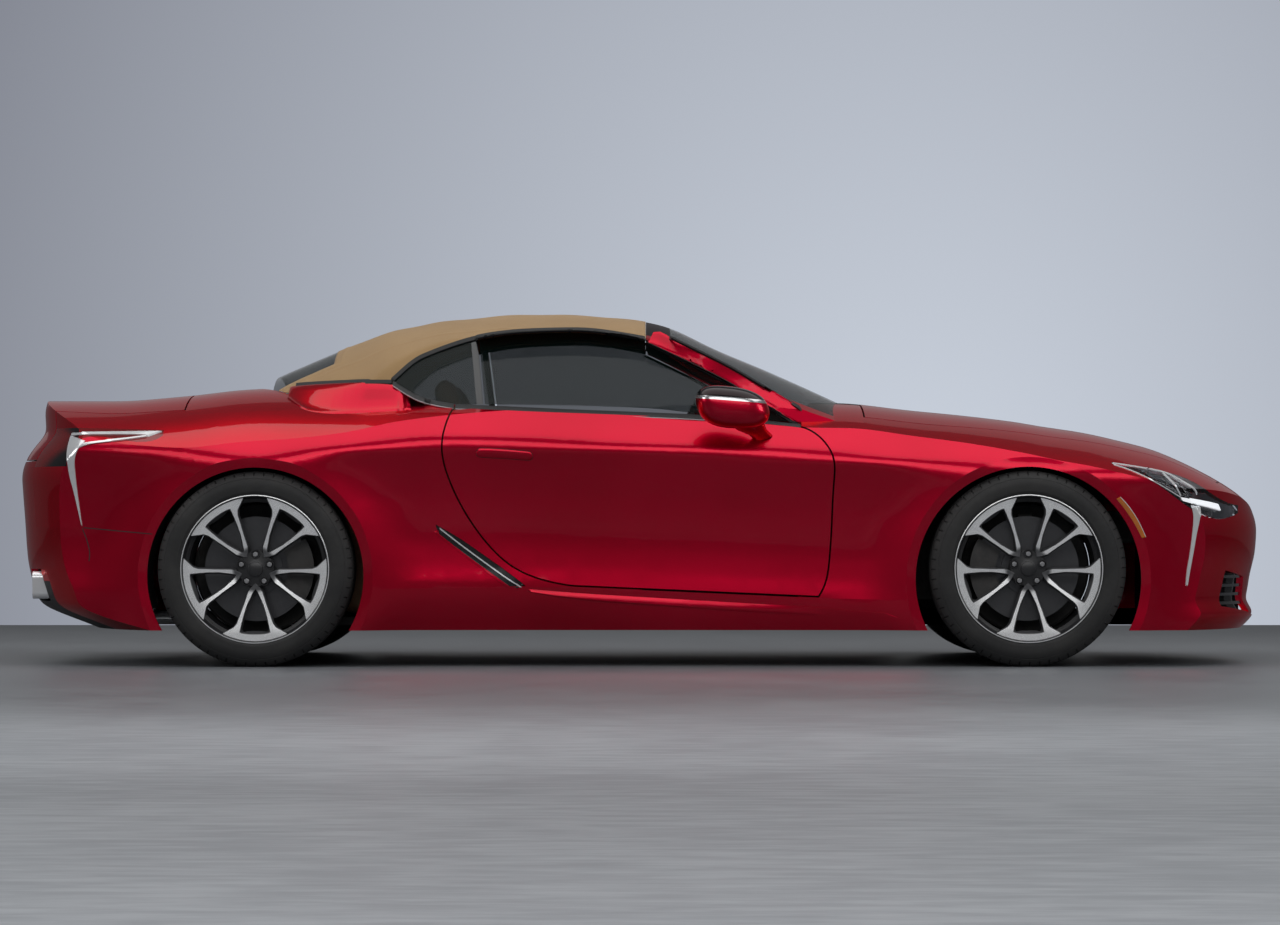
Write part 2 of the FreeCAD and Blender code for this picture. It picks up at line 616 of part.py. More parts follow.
def build_ends():
    """Bumpers with their openings, bonnet, boot lid, tonneau cover, cowl and lamps."""
    shell = OUTER.cut([INNER, UNDER_BODY])
    head_rooms = lamp_room(HEADLAMP_SHARES, LAMP_INNER_SHARE)
    tail_rooms = lamp_room(TAIL_LAMP_SHARES, TAIL_LAMP_INNER_SHARE)
    front = shell.common(box((0, -REACH, 0), (REACH, REACH, BODY_HEIGHT)))
    back = shell.common(box((-REACH, -REACH, 0), (0, REACH, BODY_HEIGHT)))
    nose = front.common(front_of(BUMPER_SEAM_SHARES)).cut(ALL_DRUMS + [bonnet_region(SHUT_GAP)] + head_rooms)
    opening, intake = end_prism(GRILLE_SHARES), end_prism(INTAKE_SHARES)
    intakes = [intake, mirrored(intake)]
    save("front_bumper", largest(nose.cut([opening] + intakes)))
    save("grille", slats(nose, opening))
    save("bumper_intakes", both(largest(slats(nose, intake))))
    tail = back.common(behind(REAR_SEAM_SHARES)).cut(ALL_DRUMS + [lid_region(SHUT_GAP)] + tail_rooms)
    tail = tail.cut(tip_spaces(TIP_GAP))
    diffuser_half = HALF_WIDTH * DIFFUSER_HALF_SHARE
    low = box((-REACH, -diffuser_half, 0), (0, diffuser_half, BODY_HEIGHT * DIFFUSER_TOP_SHARE))
    floor_x = TAIL + PLATE_DEPTH
    plate_space = box((-REACH, -PLATE_HALF, PLATE_LOW), (floor_x, PLATE_HALF, PLATE_HIGH))
    middle = (PLATE_LOW + PLATE_HIGH) / 2
    holes = []
    for side in (-1, 1):
        start = V(floor_x - PLATE_DEPTH, side * PLATE_HOLE_PITCH / 2, middle)
        holes.append(Part.makeCylinder(PLATE_HOLE_RADIUS, REACH / 2, start, V(1, 0, 0)))
    save("rear_bumper", largest(tail.cut([low, plate_space] + holes)))
    save("diffuser", largest(tail.common(low)))
    save("bonnet", front.common(bonnet_region()))
    save("boot_lid", back.common(lid_region()))
    save("tonneau_cover", largest(back.common(tonneau_region()).cut(HOUSE)))
    wide = HALF_WIDTH * CABIN_HALF_SHARE
    cowl_back, cowl_front = station_x(DOOR_TOP_FRONT_SHARE), station_x(BONNET_BACK_SHARE) - SHUT_GAP
    cowl = front.common(box((cowl_back, -wide, BODY_HEIGHT * CABIN_LOW_SHARE), (cowl_front, wide, BODY_HEIGHT)))
    save("cowl", largest(cowl.cut(HOUSE_FRAME)))
    save("headlamps", Part.makeCompound([largest(front.common(room)) for room in head_rooms]))
    save("tail_lamps", Part.makeCompound([largest(back.common(room)) for room in tail_rooms]))


def window_outline():
    """Side window opening as runs of shares."""
    low = WINDOW_LOW_SHARE
    foot, back = PILLAR_UNDER_SHARES[-1], WINDOW_BACK_SHARES[-1]
    return [WINDOW_TOP_SHARES, [WINDOW_TOP_SHARES[-1], PILLAR_UNDER_SHARES[0]], PILLAR_UNDER_SHARES,
            [foot, (foot[0], low)], [(foot[0], low), (back[0], low)], [(back[0], low), back],
            WINDOW_BACK_SHARES[::-1], [WINDOW_BACK_SHARES[0], WINDOW_TOP_SHARES[0]]]


def build_roof():
    """Soft top, rear window, side glass with its bars, windscreen and its frame."""
    opening = window_outline()
    cloth_hole = side_prism(opening, SEAM)
    header = station_x(WINDOW_TOP_SHARES[-1][0])
    above = HOUSE.cut(BELOW_DECK)
    cloth_wall = above.cut(HOUSE_CLOTH)
    cloth = cloth_wall.cut(cloth_hole).common(box((-REACH, -REACH, 0), (header, REACH, REACH)))
    back, front = [station_x(share) for share in REAR_WINDOW_SHARES]
    wide = HALF_WIDTH * REAR_WINDOW_HALF_SHARE
    window = box((back, -wide, 0), (front, wide, REACH))
    save("soft_top", largest(cloth.cut(window)))
    pane = above.cut(HOUSE_GLASS)
    save("rear_window", largest(pane.common(window)))
    (top, top_z), (foot, foot_z) = BAR_SHARES
    share = BAR_HALF_SHARE
    bar_outline = outline([(top - share, top_z), (top + share, top_z), (foot + share, foot_z), (foot - share, foot_z)])
    low = WINDOW_LOW_SHARE
    start, end = BELT_SHARES[0], BELT_SHARES[-1]
    belt = side_prism([BELT_SHARES, [end, (end[0], low)], [(end[0], low), (start[0], low)], [(start[0], low), start]])
    side_pane = half(pane).cut(belt)
    pair("door_glass", largest(side_pane.common(side_prism(opening, -SEAM)).cut(side_prism(bar_outline, SHUT_GAP))))
    bar = side_prism(bar_outline)
    fixed = side_pane.common(cloth_hole).cut(bar)
    aft = sorted(fixed.Solids, key=lambda solid: solid.CenterOfMass.x)[0]
    save("quarter_glasses", both(aft))
    save("glass_bars", both(largest(half(cloth_wall).common(bar).common(cloth_hole).cut(belt))))
    edge = skin(lambda x, z: V(x, glass_y(x, z) - WINDSCREEN_EDGE, z),
                spread(station_x(WINDSCREEN_SHARES[0]), station_x(WINDSCREEN_SHARES[1]), EDGE_PLACES),
                spread(BODY_HEIGHT * HOUSE_LOW_SHARE, BODY_HEIGHT * HOUSE_HIGH_SHARE, HOUSE_LEVELS))
    room = between_sides(edge).common(box((station_x(WINDSCREEN_TOP_SHARE), -REACH, 0), (REACH, REACH, REACH)))
    save("windscreen", largest(pane.common(room)))
    frame = above.cut([HOUSE_FRAME, room, side_prism(opening, SHUT_GAP)])
    save("windscreen_frame", largest(frame.common(box((header, -REACH, 0), (REACH, REACH, REACH)))))


# Wheels; the tyre's outer side is +Y and the wheel's centre is the origin
FRONT_RIM_WIDTH = 216.0
REAR_RIM_WIDTH = 242.0
FLANGE = 9.0
BARREL_WALL = 8.0
DROP_DEPTH = 20.0
INNER_SEAT = 28.0
INNER_DROP = 49.0
OUTER_DROP = 63.0
OUTER_SEAT = 42.0
TREAD_SHOULDER = 16.0
TREAD_CROWN = 3.0
SIDEWALL_TUCK = 7.0
SIDEWALL_RISE = 5.0
SHOULDER_BEND = 5.6
SPOKES = 5
SPOKE_HALF_ANGLE = 21.8
SPOKE_ROOT_HALF = 17.0
SPOKE_WAIST_HALF = 12.5
SPOKE_FOOT_HALF = 26.0
SPOKE_DEPTH = 30.0
SPOKE_ROOT_RADIUS = 52.0
SPOKE_WAIST_SHARE = .58
DISH = 30.0
SPOKE_PROUD = 3.0
HUB_RADIUS = 78.0
HUB_CAP_RADIUS = 33.0
MOUNT_OFFSET = 25.0
LUG_CIRCLE = 57.0
LUG_RADIUS = 13.0
LUG_DEPTH = 22.0
LUG_START_ANGLE = 90.0
DISC_RADIUS = 195.0
DISC_THICK = 34.0
DISC_HAT_RADIUS = 96.0
DISC_HAT_WALL = 9.0
DISC_PLACE = -18.0
SPINDLE_RADIUS = 27.0
SPINDLE_REACH = -66.0
BEARING_RADIUS = 58.0


def revolved(points):
    """A ring about the Y axis from closed (radius, y) profile points."""
    wire = Part.makePolygon([V(r, y, 0) for r, y in points + points[:1]])
    return Part.Face(wire).revolve(ORIGIN, ACROSS, 360)


def arc(start, middle, end):
    """An arc edge through three (radius, y) points."""
    return Part.Arc(*[V(r, y, 0) for r, y in (start, middle, end)]).toShape()


def line(start, end):
    """A straight edge between two (radius, y) points."""
    return Part.makeLine(V(*start, 0), V(*end, 0))


def flipped(point):
    """A (radius, y) point on the other side of the tyre's middle."""
    return (point[0], -point[1])


def tyre(width, radius, rim_width):
    """Tyre with beads against the flanges, bulged sidewalls, rounded shoulders and a crowned tread."""
    half, half_bead = width / 2, rim_width / 2 - SEAT_GAP
    bead, flange = (BEAD_RADIUS + SEAT_GAP, half_bead), (RIM_RADIUS + SEAT_GAP, half_bead)
    belly = ((flange[0] + radius) / 2, half)
    rise = ((flange[0] + belly[0]) / 2 - SIDEWALL_TUCK, half - SIDEWALL_RISE)
    edge = (radius - TREAD_CROWN, half - TREAD_SHOULDER)
    knee = (edge[0] - TREAD_SHOULDER, half - SIDEWALL_TUCK)
    bend = (edge[0] - SHOULDER_BEND, half - SHOULDER_BEND - SIDEWALL_TUCK)
    side = [line(bead, flange), arc(flange, rise, belly), line(belly, knee), arc(knee, bend, edge)]
    other = [line(flipped(bead), flipped(flange)), arc(flipped(flange), flipped(rise), flipped(belly)),
             line(flipped(belly), flipped(knee)), arc(flipped(knee), flipped(bend), flipped(edge))]
    wire = Part.Wire([line(flipped(bead), bead)] + side + [arc(edge, (radius, 0), flipped(edge))] + other[::-1])
    return Part.Face(wire).revolve(ORIGIN, ACROSS, 360)


def polar(radius, angle):
    """A point of the wheel's plane."""
    turn = math.radians(angle)
    return V(radius * math.cos(turn), 0, radius * math.sin(turn))


def spoke_leg(angle, side):
    """One leg of a V-shaped spoke, from its root beside the hub to the barrel."""
    root = polar(SPOKE_ROOT_RADIUS, angle)
    foot = polar(BEAD_RADIUS - BARREL_WALL, angle + side * SPOKE_HALF_ANGLE)
    way = foot - root
    across = V(-way.z, 0, way.x).normalize()
    waist = root + way * SPOKE_WAIST_SHARE
    tip = foot + way.normalize() * BARREL_WALL
    one = [root - across * SPOKE_ROOT_HALF, waist - across * SPOKE_WAIST_HALF, foot - across * SPOKE_FOOT_HALF]
    two = [foot + across * SPOKE_FOOT_HALF, waist + across * SPOKE_WAIST_HALF, root + across * SPOKE_ROOT_HALF]
    wire = Part.makePolygon(one + [tip] + two + one[:1])
    wire.translate(V(0, -REACH / 2, 0))
    return Part.Face(wire).extrude(V(0, REACH, 0))


def rim(rim_width):
    """Rim: stepped barrel, hub with lug recesses, and five V-shaped spokes."""
    half = rim_width / 2
    lip, seat, wall = RIM_RADIUS, BEAD_RADIUS, BARREL_WALL
    drop = seat - DROP_DEPTH
    top = half + FLANGE
    outside = [(lip, -top), (lip, -half), (seat, -half), (seat, INNER_SEAT - half), (drop, INNER_DROP - half),
               (drop, half - OUTER_DROP), (seat, half - OUTER_SEAT), (seat, half), (lip, half), (lip, top)]
    inside = [(seat, top), (seat - wall, half - OUTER_SEAT / 2), (drop - wall, half - OUTER_DROP),
              (drop - wall, INNER_DROP - half), (seat - wall, INNER_SEAT / 2 - half), (seat - wall, -top)]
    barrel = revolved(outside + inside)
    root_y, foot_y = half - DISH, half + SPOKE_PROUD
    root_low, foot_low = root_y - SPOKE_DEPTH, foot_y - SPOKE_DEPTH
    cone = revolved([(0, root_y), (HUB_RADIUS, root_y), (seat - wall, foot_y), (seat, foot_y), (seat, foot_low),
                     (seat - wall, foot_low), (HUB_RADIUS, root_low), (0, root_low)])
    pitch = 360 / SPOKES
    legs, recesses = [], []
    for index in range(SPOKES):
        legs += [spoke_leg(index * pitch - LUG_START_ANGLE, side) for side in (-1, 1)]
        place = polar(LUG_CIRCLE, LUG_START_ANGLE + index * pitch) + V(0, root_y - LUG_DEPTH, 0)
        recesses.append(Part.makeCylinder(LUG_RADIUS, REACH, place, ACROSS))
    hub = Part.makeCylinder(HUB_RADIUS, root_y - MOUNT_OFFSET, V(0, MOUNT_OFFSET, 0), ACROSS)
    cap = Part.makeCylinder(HUB_CAP_RADIUS, SPOKE_PROUD, V(0, root_y, 0), ACROSS)
    return joined([barrel, cone.common(joined(legs)), hub, cap]).cut(recesses)


def brake_disc():
    """Brake disc with its hat, hub face and spindle."""
    hat_in, hat_low = DISC_HAT_RADIUS - DISC_HAT_WALL, MOUNT_OFFSET - DISC_HAT_WALL
    low, high = DISC_PLACE, DISC_PLACE + DISC_THICK
    return revolved([(0, MOUNT_OFFSET), (DISC_HAT_RADIUS, MOUNT_OFFSET), (DISC_HAT_RADIUS, high), (DISC_RADIUS, high),
                     (DISC_RADIUS, low), (hat_in, low), (hat_in, hat_low), (SPINDLE_RADIUS, hat_low),
                     (SPINDLE_RADIUS, SPINDLE_REACH), (0, SPINDLE_REACH)])


# Heights and faces of the structure that the suspension meets
FRONT_WALL_Y = 450.0
STRUT_TOP_SHARE = .583
RAIL_LOW_SHARE = .34
BOOT_FLOOR_SHARE = .40

# Brake caliper and upright
CALIPER_TURN = 32.0
CALIPER_GAP = 6.0
CALIPER_WALL = 26.0
CALIPER_INNER = 118.0
CALIPER_OUTER = 214.0
KINGPIN_SETBACK = 78.0
UPRIGHT_THICK = 44.0
UPRIGHT_HALF_WIDTH = 36.0
LOWER_JOINT = 150.0
UPPER_JOINT = 170.0
REAR_UPPER_JOINT = 125.0
STUD_RADIUS = 14.0
STUD_REACH = 25.0
LINK_GAP = 1.0


def caliper(side):
    """Caliper round the edge of the brake disc, ahead of the axle or behind it."""
    wall, gap = CALIPER_WALL, CALIPER_GAP
    low, high = DISC_PLACE - gap - wall, DISC_PLACE + DISC_THICK + gap + wall
    block = revolved([(CALIPER_INNER, low), (CALIPER_OUTER, low), (CALIPER_OUTER, high), (CALIPER_INNER, high)])
    reach = DISC_RADIUS + gap
    slot = revolved([(0, low + wall), (reach, low + wall), (reach, high - wall), (0, high - wall)])
    far = polar(REACH / 4, CALIPER_TURN)
    start = V(0, -REACH / 2, 0)
    wedge = [start, start + V(side * far.x, 0, far.z), start + V(side * far.x, 0, -far.z)]
    sector = Part.Face(Part.makePolygon(wedge + wedge[:1])).extrude(V(0, REACH, 0))
    return block.cut(slot).common(sector)


def upright(side, upper_joint):
    """Knuckle or carrier: bearing, web to the two ball joints, and caliper with its bracket."""
    low = -KINGPIN_SETBACK - UPRIGHT_THICK / 2
    bearing = Part.makeCylinder(BEARING_RADIUS, DISC_PLACE - low, V(0, low, 0), ACROSS)
    web = box((-UPRIGHT_HALF_WIDTH, low, -LOWER_JOINT), (UPRIGHT_HALF_WIDTH, low + UPRIGHT_THICK, upper_joint))
    back = DISC_PLACE - CALIPER_GAP - CALIPER_WALL
    ends = sorted((0, side * (CALIPER_OUTER - CALIPER_WALL)))
    bracket = box((ends[0], back - CALIPER_WALL, -BEARING_RADIUS), (ends[1], back, BEARING_RADIUS))
    bore = Part.makeCylinder(SPINDLE_RADIUS + SEAT_GAP, REACH, V(0, -REACH / 2, 0), ACROSS)
    return joined([bearing, web, bracket, caliper(side)]).cut(bore)


def knuckle():
    """Left front upright with the holes that its two ball studs turn in."""
    holes = []
    for z in (-LOWER_JOINT - STUD_REACH, UPPER_JOINT - STUD_REACH - LINK_GAP):
        start = V(0, -KINGPIN_SETBACK, z)
        holes.append(Part.makeCylinder(STUD_RADIUS + SEAT_GAP, STUD_REACH * 2 + LINK_GAP, start, V(0, 0, 1)))
    return upright(-1, UPPER_JOINT).cut(holes)


WHEELS = {
    "front": (FRONT_AXLE, FRONT_TRACK, FRONT_TYRE_WIDTH, FRONT_TYRE_RADIUS, FRONT_RIM_WIDTH),
    "rear": (REAR_AXLE, REAR_TRACK, REAR_TYRE_WIDTH, REAR_TYRE_RADIUS, REAR_RIM_WIDTH),
}


def at_wheel(shape, end):
    """A wheel's shape moved to its place on the left side."""
    axle, track, width, radius, rim_width = WHEELS[end]
    shape = shape.copy()
    shape.translate(V(axle, track / 2, radius))
    return shape


def build_wheels():
    """Tyres, rims, brake discs and the front knuckles."""
    for end in WHEELS:
        axle, track, width, radius, rim_width = WHEELS[end]
        pair("tyre_" + end, at_wheel(tyre(width, radius, rim_width), end))
        pair("rim_" + end, at_wheel(rim(rim_width), end))
        pair("brake_disc_" + end, at_wheel(brake_disc(), end))
    pair("knuckle", at_wheel(knuckle(), "front"))


# Suspension and drive
SUBFRAME_HALF = 440.0
ARM_SPREAD = 125.0
ARM_END = 26.0
ARM_THICK = 26.0
ARM_SLOT = 62.0
ARM_GAP = 6.0
STRUT_Y = 565.0
STRUT_SETBACK = 90.0
STRUT_FOOT_HALF = 40.0
STRUT_FOOT_REACH = 85.0
SPRING_RADIUS = 52.0
DAMPER_RADIUS = 24.0
BEARER_THICK = 40.0
RACK_RADIUS = 30.0
DIFF_SHARE = .85
DIFF_RADIUS = 110.0


def rod(start, end, radius):
    """A round bar between two points."""
    way = end - start
    return Part.makeCylinder(radius, way.Length, start, way)


def link_arm(axle, y_out, y_in, low):
    """A flat V-shaped arm from one ball joint in to its two pivots, left side."""
    end, wide = ARM_END, ARM_SPREAD + ARM_END
    slim = ARM_SPREAD - ARM_END
    half_arm = [(end, y_out + end), (wide, y_in), (slim, y_in), (0, y_out - ARM_SLOT)]
    points = [(axle + x, y) for x, y in half_arm] + [(axle - x, y) for x, y in half_arm[2::-1]]
    return plate(points, low, low + ARM_THICK)


def suspension_side(end, upper_joint, top):
    """Arms and strut of one wheel, left side, with the underside of its lower arm."""
    axle, track, width, radius, rim_width = WHEELS[end]
    front = end == "front"
    y_out = track / 2 - KINGPIN_SETBACK
    gap = ARM_GAP if front else -ARM_GAP
    under, over = radius - LOWER_JOINT, radius + upper_joint
    low, high = under - gap - ARM_THICK, over + gap
    strut_x = axle if front else axle - STRUT_SETBACK
    parts = [link_arm(axle, y_out, SUBFRAME_HALF, low),
             link_arm(axle, y_out, FRONT_WALL_Y if front else SUBFRAME_HALF, high)]
    parts.append(box((axle - STRUT_FOOT_REACH, STRUT_Y - STRUT_FOOT_HALF, low),
                     (axle + STRUT_FOOT_REACH, STRUT_Y + STRUT_FOOT_HALF, low + ARM_THICK)))
    parts.append(rod(V(strut_x, STRUT_Y, low), V(strut_x, STRUT_Y, top), DAMPER_RADIUS))
    spring_low = high + ARM_THICK * 2 if front else low + ARM_THICK
    parts.append(rod(V(strut_x, STRUT_Y, spring_low), V(strut_x, STRUT_Y, top - LINER), SPRING_RADIUS))
    if front:
        for start, finish in ((low, under + STUD_REACH), (over - STUD_REACH, high + ARM_THICK)):
            parts.append(rod(V(axle, y_out, start), V(axle, y_out, finish), STUD_RADIUS))
    return parts, low


def build_suspension():
    """Arms, struts, subframes and steering rack; carriers, half shafts and differential behind."""
    for end in WHEELS:
        axle, track, width, radius, rim_width = WHEELS[end]
        front = end == "front"
        top = BODY_HEIGHT * (STRUT_TOP_SHARE if front else BOOT_FLOOR_SHARE)
        post_top = BODY_HEIGHT * (RAIL_LOW_SHARE if front else BOOT_FLOOR_SHARE)
        left, low = suspension_side(end, UPPER_JOINT if front else REAR_UPPER_JOINT, top)
        thick, half_frame = ARM_THICK, SUBFRAME_HALF
        for side in (-1, 1):
            x = axle + side * ARM_SPREAD
            left.append(box((x - thick, -OVERRUN, low), (x + thick, half_frame, low + BEARER_THICK)))
            left.append(box((x - thick, half_frame - BEARER_THICK, low), (x + thick, half_frame, post_top)))
        if not front:
            shaft_y = track / 2 - KINGPIN_SETBACK
            left.append(at_wheel(upright(1, REAR_UPPER_JOINT), "rear"))
            left.append(rod(V(axle, 0, radius), V(axle, shaft_y, radius), SPINDLE_RADIUS))
        left = joined(left)
        whole = left.fuse(mirrored(left))
        if front:
            rack = V(axle - ARM_SPREAD, half_frame - BEARER_THICK * 2, low + BEARER_THICK / 2)
            whole = whole.fuse(rod(rack, V(rack.x, -rack.y, rack.z), RACK_RADIUS))
        else:
            half_length = ARM_SPREAD * DIFF_SHARE
            core = rod(V(axle - half_length, 0, radius), V(axle + half_length, 0, radius), DIFF_RADIUS)
            cradle = box((axle - ARM_SPREAD, -BEARING_RADIUS, low + BEARER_THICK / 2),
                         (axle + ARM_SPREAD, BEARING_RADIUS, radius - BEARING_RADIUS))
            whole = whole.fuse([core, cradle])
        save(end + "_suspension", whole.removeSplitter())


# Floor and inner structure
FLOOR_WALL = 30.0
FLOOR_HALF = 690.0
TUNNEL_HALF = 130.0
TUNNEL_TOP = 330.0
FIREWALL_SHARE = .60
SEAT_BACK_SHARE = -.80
SHELF_SHARE = .66
BOOT_HALF_SHARE = .63
BOOT_BACK_SHARE = -1.80
FRONT_RAIL = (330.0, 430.0)
RAIL_TOP_SHARE = .43
RAIL_END_SHARE = 1.72
WALL = 20.0
TOWER_REACH = 76.0
ENGINE_SHARES = (.66, 1.22)
ENGINE_HALF = 310.0
ENGINE_LOW = 240.0
ENGINE_TOP_SHARE = .58


def build_structure():
    """Floor with tunnel, front structure, rear structure, engine and wheel arch liners."""
    low = GROUND_CLEARANCE + HEM
    back, front = station_x(SEAT_BACK_SHARE), station_x(FIREWALL_SHARE)
    plate_part = box((back, -FLOOR_HALF, low), (front, FLOOR_HALF, low + FLOOR_WALL))
    tunnel = box((back, -TUNNEL_HALF, low), (front, TUNNEL_HALF, TUNNEL_TOP))
    inner_half = TUNNEL_HALF - WALL
    hollow = box((-REACH, -inner_half, 0), (REACH, inner_half, TUNNEL_TOP - WALL))
    rockers = box((back, -HALF_WIDTH, low), (front, HALF_WIDTH, low + FLOOR_WALL))
    rockers = rockers.common(between_flanks(DOOR_WALL + SEAT_GAP))
    save("floor", joined([plate_part, tunnel, rockers]).cut([hollow] + LINER_DRUMS).removeSplitter())

    rail_low, rail_top = BODY_HEIGHT * RAIL_LOW_SHARE, BODY_HEIGHT * RAIL_TOP_SHARE
    nose = station_x(RAIL_END_SHARE)
    top = BODY_HEIGHT * STRUT_TOP_SHARE
    spread_x = ARM_SPREAD * 2
    pieces = [box((front, -FLOOR_HALF, low), (front + FLOOR_WALL, FLOOR_HALF, BODY_HEIGHT * SHELF_SHARE))]
    pieces.append(box((nose, -FLOOR_HALF, rail_low), (nose + FLOOR_WALL, FLOOR_HALF, rail_top)))
    for side in (-1, 1):
        rail, tower, inner = [sorted((side * near, side * far)) for near, far in (
            FRONT_RAIL, (FRONT_RAIL[0], STRUT_Y + TOWER_REACH), (FRONT_WALL_Y - WALL, FRONT_WALL_Y))]
        pieces.append(box((front, rail[0], rail_low), (nose, rail[1], rail_top)))
        pieces.append(box((FRONT_AXLE - ARM_SPREAD, tower[0], top), (FRONT_AXLE + ARM_SPREAD, tower[1], top + WALL)))
        pieces.append(box((FRONT_AXLE - spread_x, inner[0], rail_low), (FRONT_AXLE + spread_x, inner[1], top + WALL)))
    front_part = joined(pieces).common(INNER)
    save("front_structure", largest(front_part.cut(LINER_DRUMS + [hollow])))

    boot_floor = BODY_HEIGHT * BOOT_FLOOR_SHARE
    half_boot = HALF_WIDTH * BOOT_HALF_SHARE
    end = station_x(BOOT_BACK_SHARE)
    panels = [box((back - FLOOR_WALL, -FLOOR_HALF, low), (back, FLOOR_HALF, BODY_HEIGHT * SHELF_SHARE)),
              box((end, -half_boot, boot_floor), (back - FLOOR_WALL, half_boot, boot_floor + WALL))]
    for side in (-1, 1):
        ends = sorted((side * half_boot, side * (half_boot + WALL)))
        panels.append(box((end, ends[0], boot_floor), (back, ends[1], BODY_HEIGHT * SHELF_SHARE)))
    rear_part = joined(panels).common(INNER).cut(LINER_DRUMS + [HOUSE, lid_region(SHUT_GAP), hollow])
    save("rear_structure", largest(rear_part))
    engine = box((station_x(ENGINE_SHARES[0]), -ENGINE_HALF, ENGINE_LOW),
                 (station_x(ENGINE_SHARES[1]), ENGINE_HALF, BODY_HEIGHT * ENGINE_TOP_SHARE))
    save("engine", engine)
    liners = [largest(arch_liner(arch).common(INNER)) for arch in ARCHES]
    save("arch_liners", Part.makeCompound(liners + [mirrored(liner) for liner in liners]))


# Exhaust
PIPE_RADIUS = 26.0
PIPE_Y = 50.0
PIPE_DROP = 2.0
PIPE_SHARES = (.58, -1.40)
MUFFLER_RADIUS = 80.0
MUFFLER_RISE = 62.0
MUFFLER_HALF = 520.0
MUFFLER_SHARE = -1.62


def build_exhaust():
    """Pipes, silencer and two tips."""
    z = GROUND_CLEARANCE + PIPE_RADIUS + PIPE_DROP
    silencer_x = station_x(MUFFLER_SHARE)
    start, bend = [V(station_x(share), PIPE_Y, z) for share in PIPE_SHARES]
    end = V(silencer_x, PIPE_Y, z)
    tip_end = tail_x(TIP_Y, TIP_Z) - TIP_PROUD
    link = V(tip_end + TIP_LENGTH, TIP_Y, TIP_Z)
    half_wide, half_high, wall = TIP_HALF_WIDTH, TIP_HALF_HEIGHT, TIP_WALL
    tip = box((tip_end, TIP_Y - half_wide, TIP_Z - half_high), (link.x, TIP_Y + half_wide, TIP_Z + half_high))
    corners = [edge for edge in tip.Edges if abs(edge.tangentAt(edge.FirstParameter).x) > TIP_EDGE_SHARE]
    tip = tip.makeFillet(half_high / 2, corners)
    bore = box((tip_end, TIP_Y - half_wide + wall, TIP_Z - half_high + wall),
               (link.x - wall, TIP_Y + half_wide - wall, TIP_Z + half_high - wall))
    bore = bore.makeFillet(half_high / 2, [edge for edge in bore.Edges
                                           if abs(edge.tangentAt(edge.FirstParameter).x) > TIP_EDGE_SHARE])
    centre = V(silencer_x, 0, z + MUFFLER_RISE)
    left = [rod(start, end, PIPE_RADIUS), tip.cut(bore)]
    joint_y, joint_z = TIP_Y - half_high, TIP_Z - half_high
    left.append(rod(V(silencer_x, joint_y, joint_z), V(link.x - wall / 2, joint_y, joint_z + PIPE_RADIUS), PIPE_RADIUS))
    left = joined(left)
    silencer = rod(centre - V(0, MUFFLER_HALF, 0), centre + V(0, MUFFLER_HALF, 0), MUFFLER_RADIUS)
    save("exhaust", joined([left, mirrored(left), silencer]))


# Cabin
SEAT_Y = 372.0
SEAT_HALF = 235.0
SEAT_BACK_X_SHARE = -.36
SEAT_LENGTH = 500.0
CUSHION_THICK = 130.0
CUSHION_TOP = 400.0
BACK_THICK = 130.0
BACK_HEIGHT = 590.0
BACK_LEAN = 20.0
HEADREST_DEEP = 90.0
HEADREST_HALF = 130.0
HEADREST_HIGH = 165.0
SEAT_EDGE = 40.0
BENCH_HALF = 560.0
BENCH_LENGTH = 425.0
BENCH_BACK = 170.0
DASH_SHARES = (.24, .55)
DASH_HALF = 715.0
DASH_LOW = 560.0
DASH_TOP = 850.0
CONSOLE_BACK_SHARE = -.30
CONSOLE_HALF = 105.0
CONSOLE_TOP = 560.0
WHEEL_X_SHARE = .085
WHEEL_Z = 800.0
WHEEL_TILT = 24.0
WHEEL_RADIUS = 182.0
GRIP_RADIUS = 15.0
SPOKE_RADIUS = 12.0
COLUMN_RADIUS = 32.0
COLUMN_LENGTH = 260.0
BOSS_RADIUS = 75.0
BOSS_THICK = 30.0


def rounded_box(low, high, radius):
    """A block with all its edges rounded."""
    block = box(low, high)
    return block.makeFillet(radius, block.Edges)


def front_seat(y):
    """Cushion, reclined back and headrest of one front seat on its base."""
    back_x, floor_top = station_x(SEAT_BACK_X_SHARE), GROUND_CLEARANCE + HEM + FLOOR_WALL
    half, edge, top = SEAT_HALF, SEAT_EDGE, CUSHION_TOP
    under = top - CUSHION_THICK
    cushion = rounded_box((back_x, y - half, under), (back_x + SEAT_LENGTH, y + half, top), edge)
    back = rounded_box((back_x - BACK_THICK / 2, y - half, under + edge),
                       (back_x + BACK_THICK / 2, y + half, top + BACK_HEIGHT), edge)
    rest_low = top + BACK_HEIGHT - edge / 2
    rest = rounded_box((back_x - HEADREST_DEEP / 2, y - HEADREST_HALF, rest_low),
                       (back_x + HEADREST_DEEP / 2, y + HEADREST_HALF, rest_low + HEADREST_HIGH), edge)
    upper = back.fuse(rest)
    upper.rotate(V(back_x, y, top), ACROSS, -BACK_LEAN)
    base = box((back_x, y - half + edge, floor_top), (back_x + SEAT_LENGTH - edge * 2, y + half - edge, under + edge))
    return joined([cushion, upper, base])


